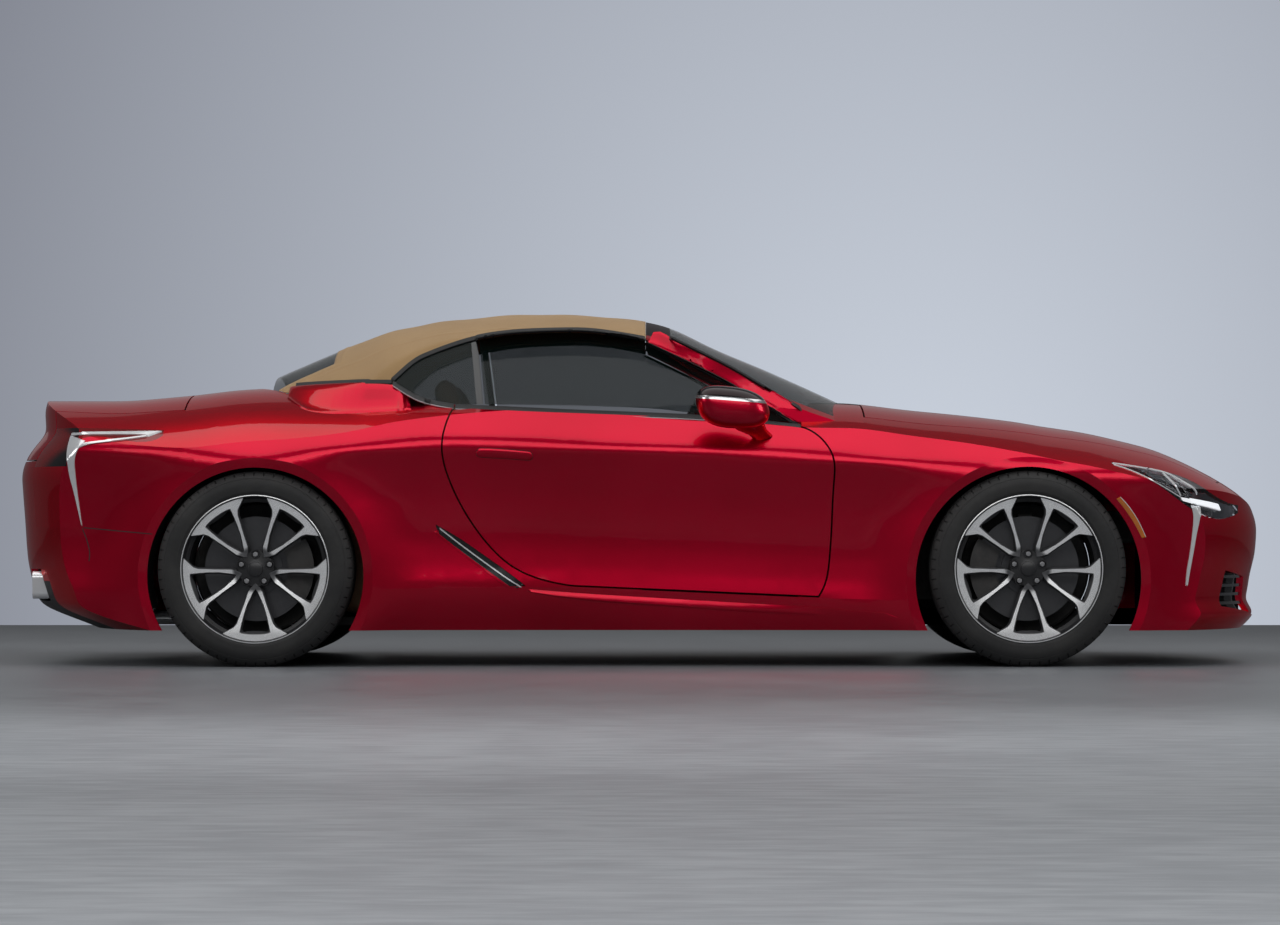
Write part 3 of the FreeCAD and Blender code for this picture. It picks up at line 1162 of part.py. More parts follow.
def build_cabin():
    """Seats, dashboard with console and column, and steering wheel."""
    save("front_seats", Part.makeCompound([front_seat(SEAT_Y), front_seat(-SEAT_Y)]))
    back, floor_top = station_x(SEAT_BACK_SHARE), GROUND_CLEARANCE + HEM + FLOOR_WALL
    bench = rounded_box((back, -BENCH_HALF, floor_top), (back + BENCH_LENGTH, BENCH_HALF, CUSHION_TOP), SEAT_EDGE)
    rest = rounded_box((back, -BENCH_HALF, CUSHION_TOP - CUSHION_THICK),
                       (back + BENCH_BACK, BENCH_HALF, BODY_HEIGHT * SHELF_SHARE), SEAT_EDGE)
    tunnel = box((-REACH, -TUNNEL_HALF, 0), (REACH, TUNNEL_HALF, TUNNEL_TOP))
    save("rear_seat", bench.fuse(rest).cut(tunnel))
    low_x, high_x = [station_x(share) for share in DASH_SHARES]
    dash = rounded_box((low_x, -DASH_HALF, DASH_LOW), (high_x, DASH_HALF, DASH_TOP), SEAT_EDGE)
    console = rounded_box((station_x(CONSOLE_BACK_SHARE), -CONSOLE_HALF, TUNNEL_TOP),
                          (high_x, CONSOLE_HALF, CONSOLE_TOP + SEAT_EDGE), SEAT_EDGE / 2)
    hub = V(station_x(WHEEL_X_SHARE), SEAT_Y, WHEEL_Z)
    tilt = math.radians(WHEEL_TILT)
    axis = V(-math.cos(tilt), 0, math.sin(tilt))
    column_top = hub - axis * BOSS_THICK
    column = rod(column_top - axis * COLUMN_LENGTH, column_top, COLUMN_RADIUS)
    save("dashboard", joined([dash, console, column]))
    grip = Part.makeTorus(WHEEL_RADIUS, GRIP_RADIUS, hub, axis)
    boss = rod(hub - axis * (BOSS_THICK - LINK_GAP), hub + axis * LINK_GAP, BOSS_RADIUS)
    ends = [V(0, 1, 0), V(0, -1, 0), axis.cross(V(0, 1, 0))]
    arms = [rod(hub - axis * GRIP_RADIUS, hub + end * WHEEL_RADIUS, SPOKE_RADIUS) for end in ends]
    save("steering_wheel", joined([grip, boss] + arms))


# Mirrors
MIRROR_MIDDLE = (362.0, 1000.0, 970.0)
MIRROR_HALVES = (118.0, 108.0, 66.0)
MIRROR_FLAT = 62.0
MIRROR_FOOT = 22.0
MIRROR_FOOT_SHARE = .655
MIRROR_FOOT_AHEAD = 45.0


def build_mirrors():
    """Door mirrors: an egg-shaped housing with a flat rear face, on a foot."""
    centre = V(*MIRROR_MIDDLE)
    scale = FreeCAD.Matrix()
    scale.scale(*MIRROR_HALVES)
    shell = Part.makeSphere(1).transformGeometry(scale)
    shell.translate(centre)
    shell = shell.cut(box((centre.x - REACH, -REACH, 0), (centre.x - MIRROR_FLAT, REACH, REACH)))
    x, z = centre.x + MIRROR_FOOT_AHEAD, BODY_HEIGHT * MIRROR_FOOT_SHARE
    foot = rod(V(x, side_y(x, z) - MIRROR_FOOT, z), V(x - MIRROR_FOOT, centre.y - MIRROR_FOOT, centre.z), MIRROR_FOOT)
    pair("door_mirror", largest(shell.fuse(foot).cut(half(OUTER))))


os.makedirs("parts", exist_ok=True)
build_sides()
build_ends()
build_roof()
build_wheels()
build_suspension()
build_structure()
build_exhaust()
build_cabin()
build_mirrors()
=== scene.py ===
# %% [markdown]
# # A red two-door convertible in a pale studio
#
# The solid model of the car is the frame of this scene. It gives every panel its place, its gaps
# and its hinges. This lesson adds what a solid model leaves out: lacquer and glass, rubber with a
# tread, a sewn fabric roof, padded leather seats, lamps with something inside them, and trim.
# All lengths are metres. +X is forward, +Y is the car's left, +Z is up.

# %% Load the frame
import bisect
import math

import bmesh
import bpy
from mathutils import Matrix, Vector
from mathutils.bvhtree import BVHTree


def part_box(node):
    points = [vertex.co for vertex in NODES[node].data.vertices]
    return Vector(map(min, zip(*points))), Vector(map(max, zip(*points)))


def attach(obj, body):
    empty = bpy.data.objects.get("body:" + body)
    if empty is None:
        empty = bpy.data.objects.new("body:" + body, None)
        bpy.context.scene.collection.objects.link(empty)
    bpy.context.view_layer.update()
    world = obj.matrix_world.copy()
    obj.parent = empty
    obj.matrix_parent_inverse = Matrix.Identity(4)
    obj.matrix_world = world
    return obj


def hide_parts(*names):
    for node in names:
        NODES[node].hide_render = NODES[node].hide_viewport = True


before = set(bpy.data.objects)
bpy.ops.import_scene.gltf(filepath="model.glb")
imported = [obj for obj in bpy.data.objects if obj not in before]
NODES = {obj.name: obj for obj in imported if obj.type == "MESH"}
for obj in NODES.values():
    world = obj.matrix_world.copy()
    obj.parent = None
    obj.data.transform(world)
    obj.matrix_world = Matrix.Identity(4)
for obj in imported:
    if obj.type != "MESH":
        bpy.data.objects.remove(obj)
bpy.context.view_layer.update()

# %% [markdown]
# ## The camera
#
# The picture is a pure side view from far away, so the lens is long. The horizon lies below the
# middle of the picture. A real view camera gets that by sliding its lens up, and `shift_y` does the
# same, which keeps the wheels' upright lines upright.

# %% Camera
PICTURE_WIDTH = 1280
FOCAL_PIXELS = 4529
SENSOR = 36.0
HORIZON_BELOW_MIDDLE = 54.5
CAMERA_PLACE = (0.0025, -17.73, 0.5566)

camera_data = bpy.data.cameras.new("studio_camera")
camera_data.sensor_width = SENSOR
camera_data.lens = FOCAL_PIXELS / PICTURE_WIDTH * SENSOR
camera_data.shift_y = HORIZON_BELOW_MIDDLE / PICTURE_WIDTH
camera = bpy.data.objects.new("studio_camera", camera_data)
camera.location = CAMERA_PLACE
camera.rotation_euler = (math.radians(90), 0, 0)
bpy.context.collection.objects.link(camera)
bpy.context.scene.camera = camera
print("lens", round(camera_data.lens, 1), "mm")

# %% [markdown]
# ## Shader maths in Python
#
# Procedural finishes are sums, products and masks of noise. Written as node links they are hard to
# read, so a small class wraps a number socket and lets Python's own signs add the Math nodes. Two
# more hold the node tree they go into, which is the world's or a material's.

# %% Number sockets and finishes


class Number:
    """A number socket that can be used in Python sums."""

    def __init__(self, finish, socket):
        self.finish = finish
        self.socket = socket

    def maths(self, operation, *others):
        node = self.finish.node("ShaderNodeMath", {"operation": operation}, dict(enumerate(others)))
        return Number(self.finish, node.outputs[0])

    def __add__(self, other):
        return self.maths("ADD", self, other)

    def __radd__(self, other):
        return self.maths("ADD", other, self)

    def __sub__(self, other):
        return self.maths("SUBTRACT", self, other)

    def __rsub__(self, other):
        return self.maths("SUBTRACT", other, self)

    def __mul__(self, other):
        return self.maths("MULTIPLY", self, other)

    def __rmul__(self, other):
        return self.maths("MULTIPLY", other, self)

    def __truediv__(self, other):
        return self.maths("DIVIDE", self, other)

    def __pow__(self, other):
        return self.maths("POWER", self, other)

    def above(self, edge):
        return self.maths("GREATER_THAN", self, edge)

    def sine(self):
        return self.maths("SINE", self)

    def size(self):
        return self.maths("ABSOLUTE", self)

    def root(self):
        return self.maths("SQRT", self)

    def between(self, low, high):
        """0 at low and 1 at high, eased and held outside."""
        node = self.finish.node("ShaderNodeMapRange", {"interpolation_type": "SMOOTHSTEP"},
                                {"Value": self, "From Min": low, "From Max": high})
        return Number(self.finish, node.outputs["Result"])


class Tree:
    """A node tree with short ways to add a node and to feed its sockets."""

    def __init__(self, tree):
        self.tree = tree
        tree.nodes.clear()

    def feed(self, socket, value):
        if isinstance(value, Number):
            self.tree.links.new(value.socket, socket)
        elif isinstance(value, bpy.types.NodeSocket):
            self.tree.links.new(value, socket)
        elif isinstance(value, tuple) and len(value) == 3 and socket.type == "RGBA":
            socket.default_value = (*value, 1)
        else:
            socket.default_value = value

    def node(self, kind, settings=None, inputs=None):
        node = self.tree.nodes.new(kind)
        for key, value in (settings or {}).items():
            setattr(node, key, value)
        for key, value in (inputs or {}).items():
            self.feed(node.inputs[key], value)
        return node


class Finish(Tree):
    """A material with one principled shader and short ways to feed it."""

    def __init__(self, name, **constants):
        self.material = bpy.data.materials.new(name)
        self.material.use_nodes = True
        super().__init__(self.material.node_tree)
        self.shader = self.node("ShaderNodeBsdfPrincipled")
        self.node("ShaderNodeOutputMaterial", {}, {0: self.shader.outputs[0]})
        self.set(**constants)

    def place(self, scale=(1, 1, 1), turn=(0, 0, 0)):
        """Object coordinates, stretched and turned."""
        coordinates = self.node("ShaderNodeTexCoord").outputs["Object"]
        inputs = {"Vector": coordinates, "Scale": scale, "Rotation": tuple(math.radians(a) for a in turn)}
        return self.node("ShaderNodeMapping", {}, inputs).outputs[0]

    def axes(self, vector=None):
        """The three numbers of a vector, the place by default."""
        parts = self.node("ShaderNodeSeparateXYZ", {}, {0: vector or self.place()})
        return [Number(self, socket) for socket in parts.outputs]

    def noise(self, scale, detail=4.0, rough=0.55, vector=None):
        inputs = {"Scale": scale, "Detail": detail, "Roughness": rough, "Vector": vector or self.place()}
        return Number(self, self.node("ShaderNodeTexNoise", {}, inputs).outputs[0])

    def cells(self, scale, feature="F1", vector=None):
        inputs = {"Scale": scale, "Vector": vector or self.place()}
        cells = self.node("ShaderNodeTexVoronoi", {"feature": feature}, inputs)
        return Number(self, cells.outputs["Distance"])

    def mix(self, share, first, second):
        """A colour between two, by a mask."""
        return self.node("ShaderNodeMix", {"data_type": "RGBA"},
                         {"Factor": share, 6: (*first, 1) if isinstance(first, tuple) else first,
                          7: (*second, 1) if isinstance(second, tuple) else second}).outputs[2]

    def bump(self, height, distance, strength=1.0):
        inputs = {"Height": height, "Distance": distance, "Strength": strength}
        self.feed(self.shader.inputs["Normal"], self.node("ShaderNodeBump", {}, inputs).outputs[0])

    def set(self, **values):
        for key, value in values.items():
            socket = key.replace("_", " ").title().replace("Ior", "IOR")
            self.feed(self.shader.inputs[socket], value)
        return self


print("helpers", [kind.__name__ for kind in (Number, Tree, Finish)])

# %% [markdown]
# ## Light and floor
#
# Lacquer shows whatever stands around it. Studios hang a long soft box over a car so that its
# shoulder gets one clean bright line, and put a paler wall behind the camera. The world colour does
# the wall's work, and area lamps are the soft boxes. One of them lights only the floor in front of
# the car. What the camera sees behind the car is a backdrop, chosen by ray type, with painted light
# on it: a pale spot that darkens towards its edges.

# %% World
# Backdrop colours, and the place and size of its pale spot: a painted pool of light
BACKDROP = (0.61, 0.66, 0.745, 1)
BACKDROP_SHADED_EDGE = (0.2, 0.21, 0.25, 1)
LIGHT_POOL_SHIFT = (-0.25, 0.0, 0.05)
LIGHT_POOL_SCALE = (4.0, 0.0, 3.2)
FILL = (0.74, 0.76, 0.8, 1)
FILL_STRENGTH = 0.13
# Name, place, aim, size and power in watts
LAMPS = (("overhead", (0, -0.6, 5.5), (0, 0, 0), (13.0, 6.0), 350),
         ("near_side", (0.4, -6.5, 4.0), (0, 0, 0.6), (10.0, 2.4), 130),
         ("far_side", (0, 8.0, 4.0), (0, 0, 0.6), (12.0, 5.0), 36),
         ("fore_floor", (0, -13.5, 4.5), (0, -13.0, 0), (15.0, 5.0), 240),
         ("rear_end", (-6.5, -2.5, 2.6), (-1.6, 0, 0.6), (2.0, 1.6), 45),
         ("front_end", (6.5, -2.5, 2.6), (1.6, 0, 0.6), (2.0, 1.6), 45))

world = bpy.data.worlds.new("studio")
bpy.context.scene.world = world
world.use_nodes = True
sky = Tree(world.node_tree)
fill = sky.node("ShaderNodeBackground", {}, {"Color": FILL, "Strength": FILL_STRENGTH})
way = sky.node("ShaderNodeTexCoord").outputs["Generated"]
# Painted light on the backdrop: pale in a spot, darker towards its edges
spot = sky.node("ShaderNodeMapping", {}, {"Vector": way, "Location": LIGHT_POOL_SHIFT, "Scale": LIGHT_POOL_SCALE})
reach = sky.node("ShaderNodeVectorMath", {"operation": "LENGTH"}, {0: spot.outputs[0]})
wall = sky.node("ShaderNodeMix", {"data_type": "RGBA"},
                {"Factor": reach.outputs["Value"], 6: BACKDROP, 7: BACKDROP_SHADED_EDGE})
backdrop = sky.node("ShaderNodeBackground", {}, {"Color": wall.outputs[2], "Strength": 1.0})
rays = sky.node("ShaderNodeLightPath").outputs
either = sky.node("ShaderNodeMath", {"operation": "MAXIMUM"},
                  {0: rays["Is Camera Ray"], 1: rays["Is Transmission Ray"]})
choose = sky.node("ShaderNodeMixShader", {},
                  {0: either.outputs[0], 1: fill.outputs[0], 2: backdrop.outputs[0]})
sky.node("ShaderNodeOutputWorld", {}, {0: choose.outputs[0]})


def soft_box(name, place, aim, size, power):
    """An area lamp that faces a point."""
    data = bpy.data.lights.new(name, "AREA")
    data.shape = "RECTANGLE"
    data.size, data.size_y = size
    data.energy = power
    lamp = bpy.data.objects.new(name, data)
    lamp.location = place
    lamp.rotation_euler = (Vector(aim) - Vector(place)).to_track_quat("-Z", "Y").to_euler()
    bpy.context.collection.objects.link(lamp)
    return lamp


for lamp in LAMPS:
    soft_box(*lamp)

# %% [markdown]
# ## Lacquer
#
# Candy red is three layers: a dark metallic base, a clear red layer and a hard clear coat. The
# principled shader has the same layers. The metal base turns bright where it faces a lamp and
# nearly black where it doesn't, which is why such a car looks deep red in its hollows. Fine flakes
# are a very small noise in the base's roughness. Two parts of the windscreen's surround change to
# black, and there a mask takes away the metal and most of the clear coat.

# %% Lacquer
RED_LOW, RED_HIGH = (0.48, 0.0006, 0.02), (0.56, 0.001, 0.026)
CANDY = {"coat_weight": 0.7, "coat_roughness": 0.03, "coat_ior": 1.35, "specular_ior_level": 0.1,
         "specular_tint": (1.0, 0.12, 0.18)}
CANDY_METAL = 0.88
COAT_LOSS = 0.62
COWL_HALF = 0.38
HEADER_HALF, HEADER_FRONT = 0.54, 0.125
MASK_EDGE = 0.01
paint = Finish("red_lacquer", metallic=CANDY_METAL, **CANDY)
flakes = paint.noise(900, 2)
drift = paint.noise(1.1, 3)
paint.set(base_color=paint.mix(drift.between(0.3, 0.7), RED_LOW, RED_HIGH), roughness=0.24 + flakes * 0.1)


def two_tone(name, mask_of, other, gloss):
    """Lacquer with another colour where a mask of the place is 1."""
    finish = Finish(name, **CANDY)
    mask = mask_of(*finish.axes())
    lacquer = finish.mix(finish.noise(1.1, 3).between(0.3, 0.7), RED_LOW, RED_HIGH)
    finish.set(base_color=finish.mix(mask, lacquer, other), metallic=CANDY_METAL - mask * CANDY_METAL,
               roughness=0.28 + finish.noise(900, 2) * 0.1 + mask * gloss,
               coat_weight=CANDY["coat_weight"] - mask * COAT_LOSS)
    return finish


def cowl_middle(x, y, z):
    return y.size().between(COWL_HALF + 2 * MASK_EDGE, COWL_HALF)


def header_top(x, y, z):
    return (x.between(HEADER_FRONT + MASK_EDGE, HEADER_FRONT)
            * y.size().between(HEADER_HALF + 2 * MASK_EDGE, HEADER_HALF))


cowl_paint = two_tone("cowl_grained_middle", cowl_middle, (0.014, 0.014, 0.015), 0.25)
header_paint = two_tone("red_frame_black_header", header_top, (0.008, 0.008, 0.009), 0.15)
print("lacquers", [finish.material.name for finish in (paint, cowl_paint, header_paint)])

# %% [markdown]
# ## Blacks
#
# Black parts differ by their surface: gloss trim, grained plastic, soft rubber and coated steel.
# Each is nearly the same colour, so the noise goes into roughness and bump.

# %% Blacks


def plain(name, tone_noise, tones, rough, spread, rough_noise, **constants):
    """A finish of two tones under one noise, with a roughness that another noise spreads."""
    finish = Finish(name, **constants)
    return finish.set(base_color=finish.mix(finish.noise(*tone_noise), *tones),
                      roughness=rough + finish.noise(*rough_noise) * spread)


gloss_black = plain("gloss_black", (6,), ((0.006, 0.006, 0.007), (0.011, 0.011, 0.012)),
                    0.14, 0.08, (40, 3), coat_weight=0.6, coat_roughness=0.05)
seal = plain("rubber_seal", (12,), ((0.008, 0.008, 0.009), (0.016, 0.016, 0.017)), 0.6, 0.15, (80,))
grained = plain("grained_plastic", (9,), ((0.012, 0.012, 0.013), (0.022, 0.022, 0.024)),
                0.48, 0.16, (30, 3))
grained.bump(grained.cells(420), 0.0004, 0.5)

rubber = Finish("tyre_rubber")
dust = rubber.noise(5, 5)
rubber.set(base_color=rubber.mix(dust.between(0.35, 0.8), (0.012, 0.012, 0.0125), (0.03, 0.029, 0.028)),
           roughness=0.58 + rubber.noise(60, 3) * 0.22)
rubber.bump(rubber.noise(350, 3), 0.0003, 0.4)

underbody = Finish("underbody_coat")
splash = underbody.noise(7, 5)
wet = underbody.mix(splash.between(0.4, 0.75), (0.014, 0.014, 0.015), (0.05, 0.048, 0.045))
underbody.set(base_color=wet, roughness=0.62 + splash * 0.2)
underbody.bump(underbody.noise(140, 4), 0.0008, 0.4)
print("finishes", len(bpy.data.materials))

# %% [markdown]
# ## Metals
#
# A machined face has fine circular lines from the cutting tool. They follow the distance from the
# wheel's axle, so the finish reads that distance and runs a sine over it. The car has wheels at two
# places along X, and each gets its own finish with its own centre.

# %% Metals
bright = plain("bright_metal", (14,), ((0.8, 0.81, 0.83), (0.9, 0.91, 0.92)), 0.16, 0.08, (50, 3),
               metallic=0.5)
steel = plain("bare_steel", (20,), ((0.3, 0.3, 0.31), (0.42, 0.42, 0.43)), 0.3, 0.18, (90, 3),
              metallic=1.0)
iron = plain("cast_iron", (25, 5), ((0.05, 0.05, 0.052), (0.11, 0.105, 0.1)), 0.5, 0.2, (60,),
             metallic=0.7)
iron.bump(iron.noise(260, 4), 0.0006, 0.6)

FRONT_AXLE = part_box("tyre_front_left")
REAR_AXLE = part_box("tyre_rear_left")
AXLES = {"front": (FRONT_AXLE[0] + FRONT_AXLE[1]) / 2, "rear": (REAR_AXLE[0] + REAR_AXLE[1]) / 2}


def radius_from(finish, centre):
    """Distance from an axle, as a number."""
    x, y, z = finish.axes()
    return ((x - centre.x) ** 2 + (z - centre.z) ** 2).root()


def machined(name, centre, face, pocket, lines, spokes):
    """Metal that is bright on its outward faces and dark between them."""
    finish = Finish(name, metallic=0.6)
    away = radius_from(finish, centre)
    rings = (away * lines).sine() * 0.5 + 0.5
    normal = finish.node("ShaderNodeTexCoord").outputs["Normal"]
    outward = finish.axes(normal)[1].size().between(0.8, 0.93)
    mask = outward * away.between(*spokes) if spokes else outward
    wear = finish.noise(30, 4)
    finish.set(base_color=finish.mix(mask, pocket, face),
               roughness=(0.2 + rings * 0.1 + wear * 0.06) * mask + (0.42 + wear * 0.1) * (1 - mask))
    finish.bump(rings * mask, 0.00015, 0.25)
    return finish


ALLOY_FACE, ALLOY_POCKET = (0.93, 0.935, 0.94), (0.1, 0.101, 0.106)
alloy = {end: machined("alloy_" + end, AXLES[end], ALLOY_FACE, ALLOY_POCKET, 4200, (0.075, 0.095))
         for end in AXLES}
rotor = {end: machined("rotor_" + end, AXLES[end], (0.1, 0.1, 0.105), (0.04, 0.04, 0.042), 2600, None)
         for end in AXLES}
print("axles", {end: tuple(round(v, 3) for v in centre) for end, centre in AXLES.items()})

# %% [markdown]
# ## Glass and lamp covers
#
# Car glass has a little green iron in it and, on this car, a grey tint. A flat pane hardly bends
# what is behind it, so it is made with alpha instead of refraction: half of the light passes
# straight on, and the surface still mirrors the studio. A tail lamp is one solid that also holds
# some painted body, so masks of height and length give its parts three finishes.

# %% Glass
glass = plain("tinted_glass", (2,), ((0.004, 0.009, 0.008), (0.006, 0.012, 0.011)), 0.01, 0.01, (3,),
              ior=1.5, coat_weight=0.0, specular_ior_level=0.22)
glass.set(alpha=0.5 + glass.noise(1.5) * 0.06)
clear = Finish("clear_cover", transmission_weight=1.0, ior=1.4, roughness=0.0)
clear.set(base_color=clear.mix(clear.noise(2), (0.9, 0.92, 0.93), (0.93, 0.94, 0.95)))
tail_cover = Finish("tail_lamp_cover", **CANDY)
LENS_BOTTOM, LENS_FRONT, ARMS_BOTTOM = 0.745, -2.09, 0.836
tail_x, _, tail_z = tail_cover.axes()
normal = tail_cover.node("ShaderNodeTexCoord").outputs["Normal"]
facing = tail_cover.axes(normal)[1].size().between(0.45, 0.55)
high = tail_z.above(LENS_BOTTOM)
lens_part = high * (1 - tail_x.above(LENS_FRONT))
upper_part = tail_z.above(ARMS_BOTTOM)
covered = (1 - high * (1 - facing)) * (1 - lens_part) * (1 - upper_part)
lens_tone = tail_cover.mix(lens_part * facing, (0.13, 0.003, 0.004), (0.008, 0.008, 0.009))
lens_tone = tail_cover.mix(upper_part * (1 - lens_part) * facing, lens_tone, (0.3, 0.004, 0.005))
tail_cover.set(base_color=tail_cover.mix(covered, lens_tone, (0.52, 0.0008, 0.023)),
               metallic=covered * CANDY_METAL,
               roughness=0.12 + covered * 0.2 + tail_cover.noise(40) * 0.04)
amber = plain("amber_lens", (40,), ((0.75, 0.2, 0.01), (0.85, 0.28, 0.02)), 0.15, 0.1, (90,),
              transmission_weight=0.4, coat_weight=1.0)
print("clear parts", [finish.material.name for finish in (glass, clear, tail_cover, amber)])

# %% [markdown]
# ## Cloth and leather
#
# The roof is a canvas: two sets of threads that cross. Two sines at right angles make the weave,
# and a slow noise makes the dye uneven. Leather has a pebbled grain, which is the edge distance of
# Voronoi cells, and it is a little darker in the valleys.

# %% Cloth and leather
canvas = Finish("tan_canvas", sheen_weight=0.12, sheen_roughness=0.5)
cx, cy, cz = canvas.axes()
warp = (cx * 3600).sine() * 0.5 + 0.5
weft = (cy * 3600 + cz * 2200).sine() * 0.5 + 0.5
weave = warp * 0.5 + weft * 0.5
dye = canvas.noise(3.2, 5).between(0.25, 0.75) * 0.6 + canvas.noise(260, 3) * 0.4
canvas.set(base_color=canvas.mix(dye, (0.275, 0.165, 0.066), (0.36, 0.225, 0.098)),
           roughness=0.8 + weave * 0.12)
canvas.bump(weave, 0.0004, 0.6)


def hide_finish(name, low, high):
    """Leather in one colour."""
    finish = Finish(name)
    pebble = finish.cells(330, "DISTANCE_TO_EDGE")
    tone = finish.noise(4, 5)
    finish.set(base_color=finish.mix(tone.between(0.3, 0.7), low, high),
               roughness=0.42 + pebble * 0.25 + tone * 0.08)
    finish.bump(pebble, 0.0007, 0.5)
    return finish


leather = hide_finish("tan_leather", (0.36, 0.2, 0.1), (0.46, 0.27, 0.14))
dark_leather = hide_finish("dark_leather", (0.02, 0.018, 0.017), (0.035, 0.03, 0.028))
print("finishes", len(bpy.data.materials))

# %% [markdown]
# ## The floor
#
# A grey concrete floor with a soft sheen keeps the car's shadow, which is what puts it on the
# ground. Painted light makes its colour paler towards the camera. It ends where the studio's wall
# would stand. The floor isn't part of the car.

# %% Floor
FLOOR_NEAR, FLOOR_FAR, FLOOR_HALF = -24.0, 5.6, 30.0
PAINTED_LIGHT_FROM_TO = (-3.4, -8.0)

concrete = Finish("studio_floor", specular_ior_level=0.35)
worn = concrete.noise(0.9, 6) * 0.4 + concrete.noise(5, 8, vector=concrete.place((1, 3, 1))) * 0.6
# Painted light: the floor's colour turns paler towards the camera
near = concrete.axes()[1].between(*PAINTED_LIGHT_FROM_TO)
tone = concrete.mix(worn.between(0.35, 0.65), (0.125, 0.134, 0.147), (0.175, 0.186, 0.2))
pale = concrete.mix(worn.between(0.35, 0.65), (0.42, 0.45, 0.49), (0.62, 0.65, 0.69))
concrete.set(base_color=concrete.mix(near, tone, pale), roughness=0.3 + worn * 0.25)
concrete.bump(concrete.noise(26, 6), 0.002, 0.25)
sheet = bmesh.new()
bmesh.ops.create_grid(sheet, x_segments=1, y_segments=1, size=1)
for corner in sheet.verts:
    corner.co = Vector((corner.co.x * FLOOR_HALF, FLOOR_FAR if corner.co.y > 0 else FLOOR_NEAR, 0))
floor_mesh = bpy.data.meshes.new("studio_floor")
sheet.to_mesh(floor_mesh)
sheet.free()
studio_floor = bpy.data.objects.new("studio_floor", floor_mesh)
studio_floor.data.materials.append(concrete.material)
bpy.context.collection.objects.link(studio_floor)
print("floor", 2 * FLOOR_HALF, "by", FLOOR_FAR - FLOOR_NEAR, "m")

# %% [markdown]
# ## Dressing the frame
#
# Most panels of the frame already have the right shape and only need the right finish. One table
# says which finish each node gets.

# %% Dress the nodes
DRESS = {
    "arch_liners": grained, "dashboard": dark_leather, "engine": iron, "exhaust": bright,
    "floor": underbody, "front_structure": underbody, "rear_structure": underbody,
    "front_suspension": iron, "rear_suspension": iron, "headlamps": clear, "tail_lamps": tail_cover,
    "quarter_glasses": glass, "rear_window": glass, "windscreen": glass, "soft_top": canvas,
    "glass_bars": gloss_black, "grille": gloss_black, "bumper_intakes": gloss_black, "diffuser": grained,
    "windscreen_frame": header_paint, "cowl": cowl_paint,
    "front_seats": leather, "rear_seat": leather, "steering_wheel": dark_leather,
    "knuckle_left": iron, "knuckle_right": iron, "door_glass_left": glass, "door_glass_right": glass,
}
for end in AXLES:
    for side in ("left", "right"):
        DRESS["rim_%s_%s" % (end, side)] = alloy[end]
        DRESS["brake_disc_%s_%s" % (end, side)] = rotor[end]
        DRESS["tyre_%s_%s" % (end, side)] = rubber
for name, node in NODES.items():
    node.data.materials.clear()
    node.data.materials.append(DRESS.get(name, paint).material)
print("painted panels", sorted(set(NODES) - set(DRESS)))

# %% [markdown]
# ## Laying trim on a body
#
# Trim follows a curved body in three dimensions but is designed in side view. So each piece starts
# as a flat grid. Every point of the grid gets a place in side view between an upper and a lower
# line, a ray from beside the car finds the body there, and the point moves onto it. The border of
# the grid dives a few millimetres into the body, which hides its edge as a pressed clip does.

# %% Side view lines
LINE_STEPS = 16


class Line:
    """A smooth line through side view points, walked by the share of its length."""

    def __init__(self, *points):
        ends = [points[0], *points, points[-1]]
        self.places = []
        for before, start, end, after in zip(ends, ends[1:], ends[2:], ends[3:]):
            for step in range(LINE_STEPS):
                t = step / LINE_STEPS
                self.places.append(tuple(
                    0.5 * (2 * b + (c - a) * t + (2 * a - 5 * b + 4 * c - d) * t ** 2
                           + (3 * b - a - 3 * c + d) * t ** 3)
                    for a, b, c, d in zip(before, start, end, after)))
        self.places.append(points[-1])
        self.lengths = [0.0]
        for one, two in zip(self.places, self.places[1:]):
            self.lengths.append(self.lengths[-1] + math.dist(one, two))

    def at(self, share):
        goal = min(1, max(0, share)) * self.lengths[-1]
        index = min(max(1, bisect.bisect_left(self.lengths, goal)), len(self.lengths) - 1)
        span = self.lengths[index] - self.lengths[index - 1]
        t = (goal - self.lengths[index - 1]) / span if span else 0
        return tuple(a + (b - a) * t for a, b in zip(self.places[index - 1], self.places[index]))


class Beside:
    """A line that runs beside another. A reach above 0 is to the left of its way."""

    def __init__(self, line, reach):
        self.line = line
        self.reach = reach

    def at(self, share):
        share = min(1, max(0, share))
        x, z = self.line.at(share)
        before, after = self.line.at(max(0, share - 0.01)), self.line.at(min(1, share + 0.01))
        share_out = self.reach / math.dist(before, after)
        return x - (after[1] - before[1]) * share_out, z + (after[0] - before[0]) * share_out


print("steps between two points of a line", LINE_STEPS)

# %% [markdown]
# The body's panels are separate solids, and a piece of trim can cross from one to the next. Asking
# each solid in turn would be slow. So the solids that a piece may lie on are joined into one search
# tree, which answers a ray with the first place that it meets.

# %% Surfaces
FLANK_Y, OUTSIDE_Y, FARTHEST_HIT = 0.9, 3, 0.5


def soup(names):
    """Corners and faces of some nodes together, and the node of each face."""
    corners, faces, owners = [], [], []
    for name in names:
        mesh, start = NODES[name].data, len(corners)
        corners += [vertex.co.copy() for vertex in mesh.vertices]
        faces += [[start + index for index in polygon.vertices] for polygon in mesh.polygons]
        owners += [name] * len(mesh.polygons)
    return corners, faces, owners


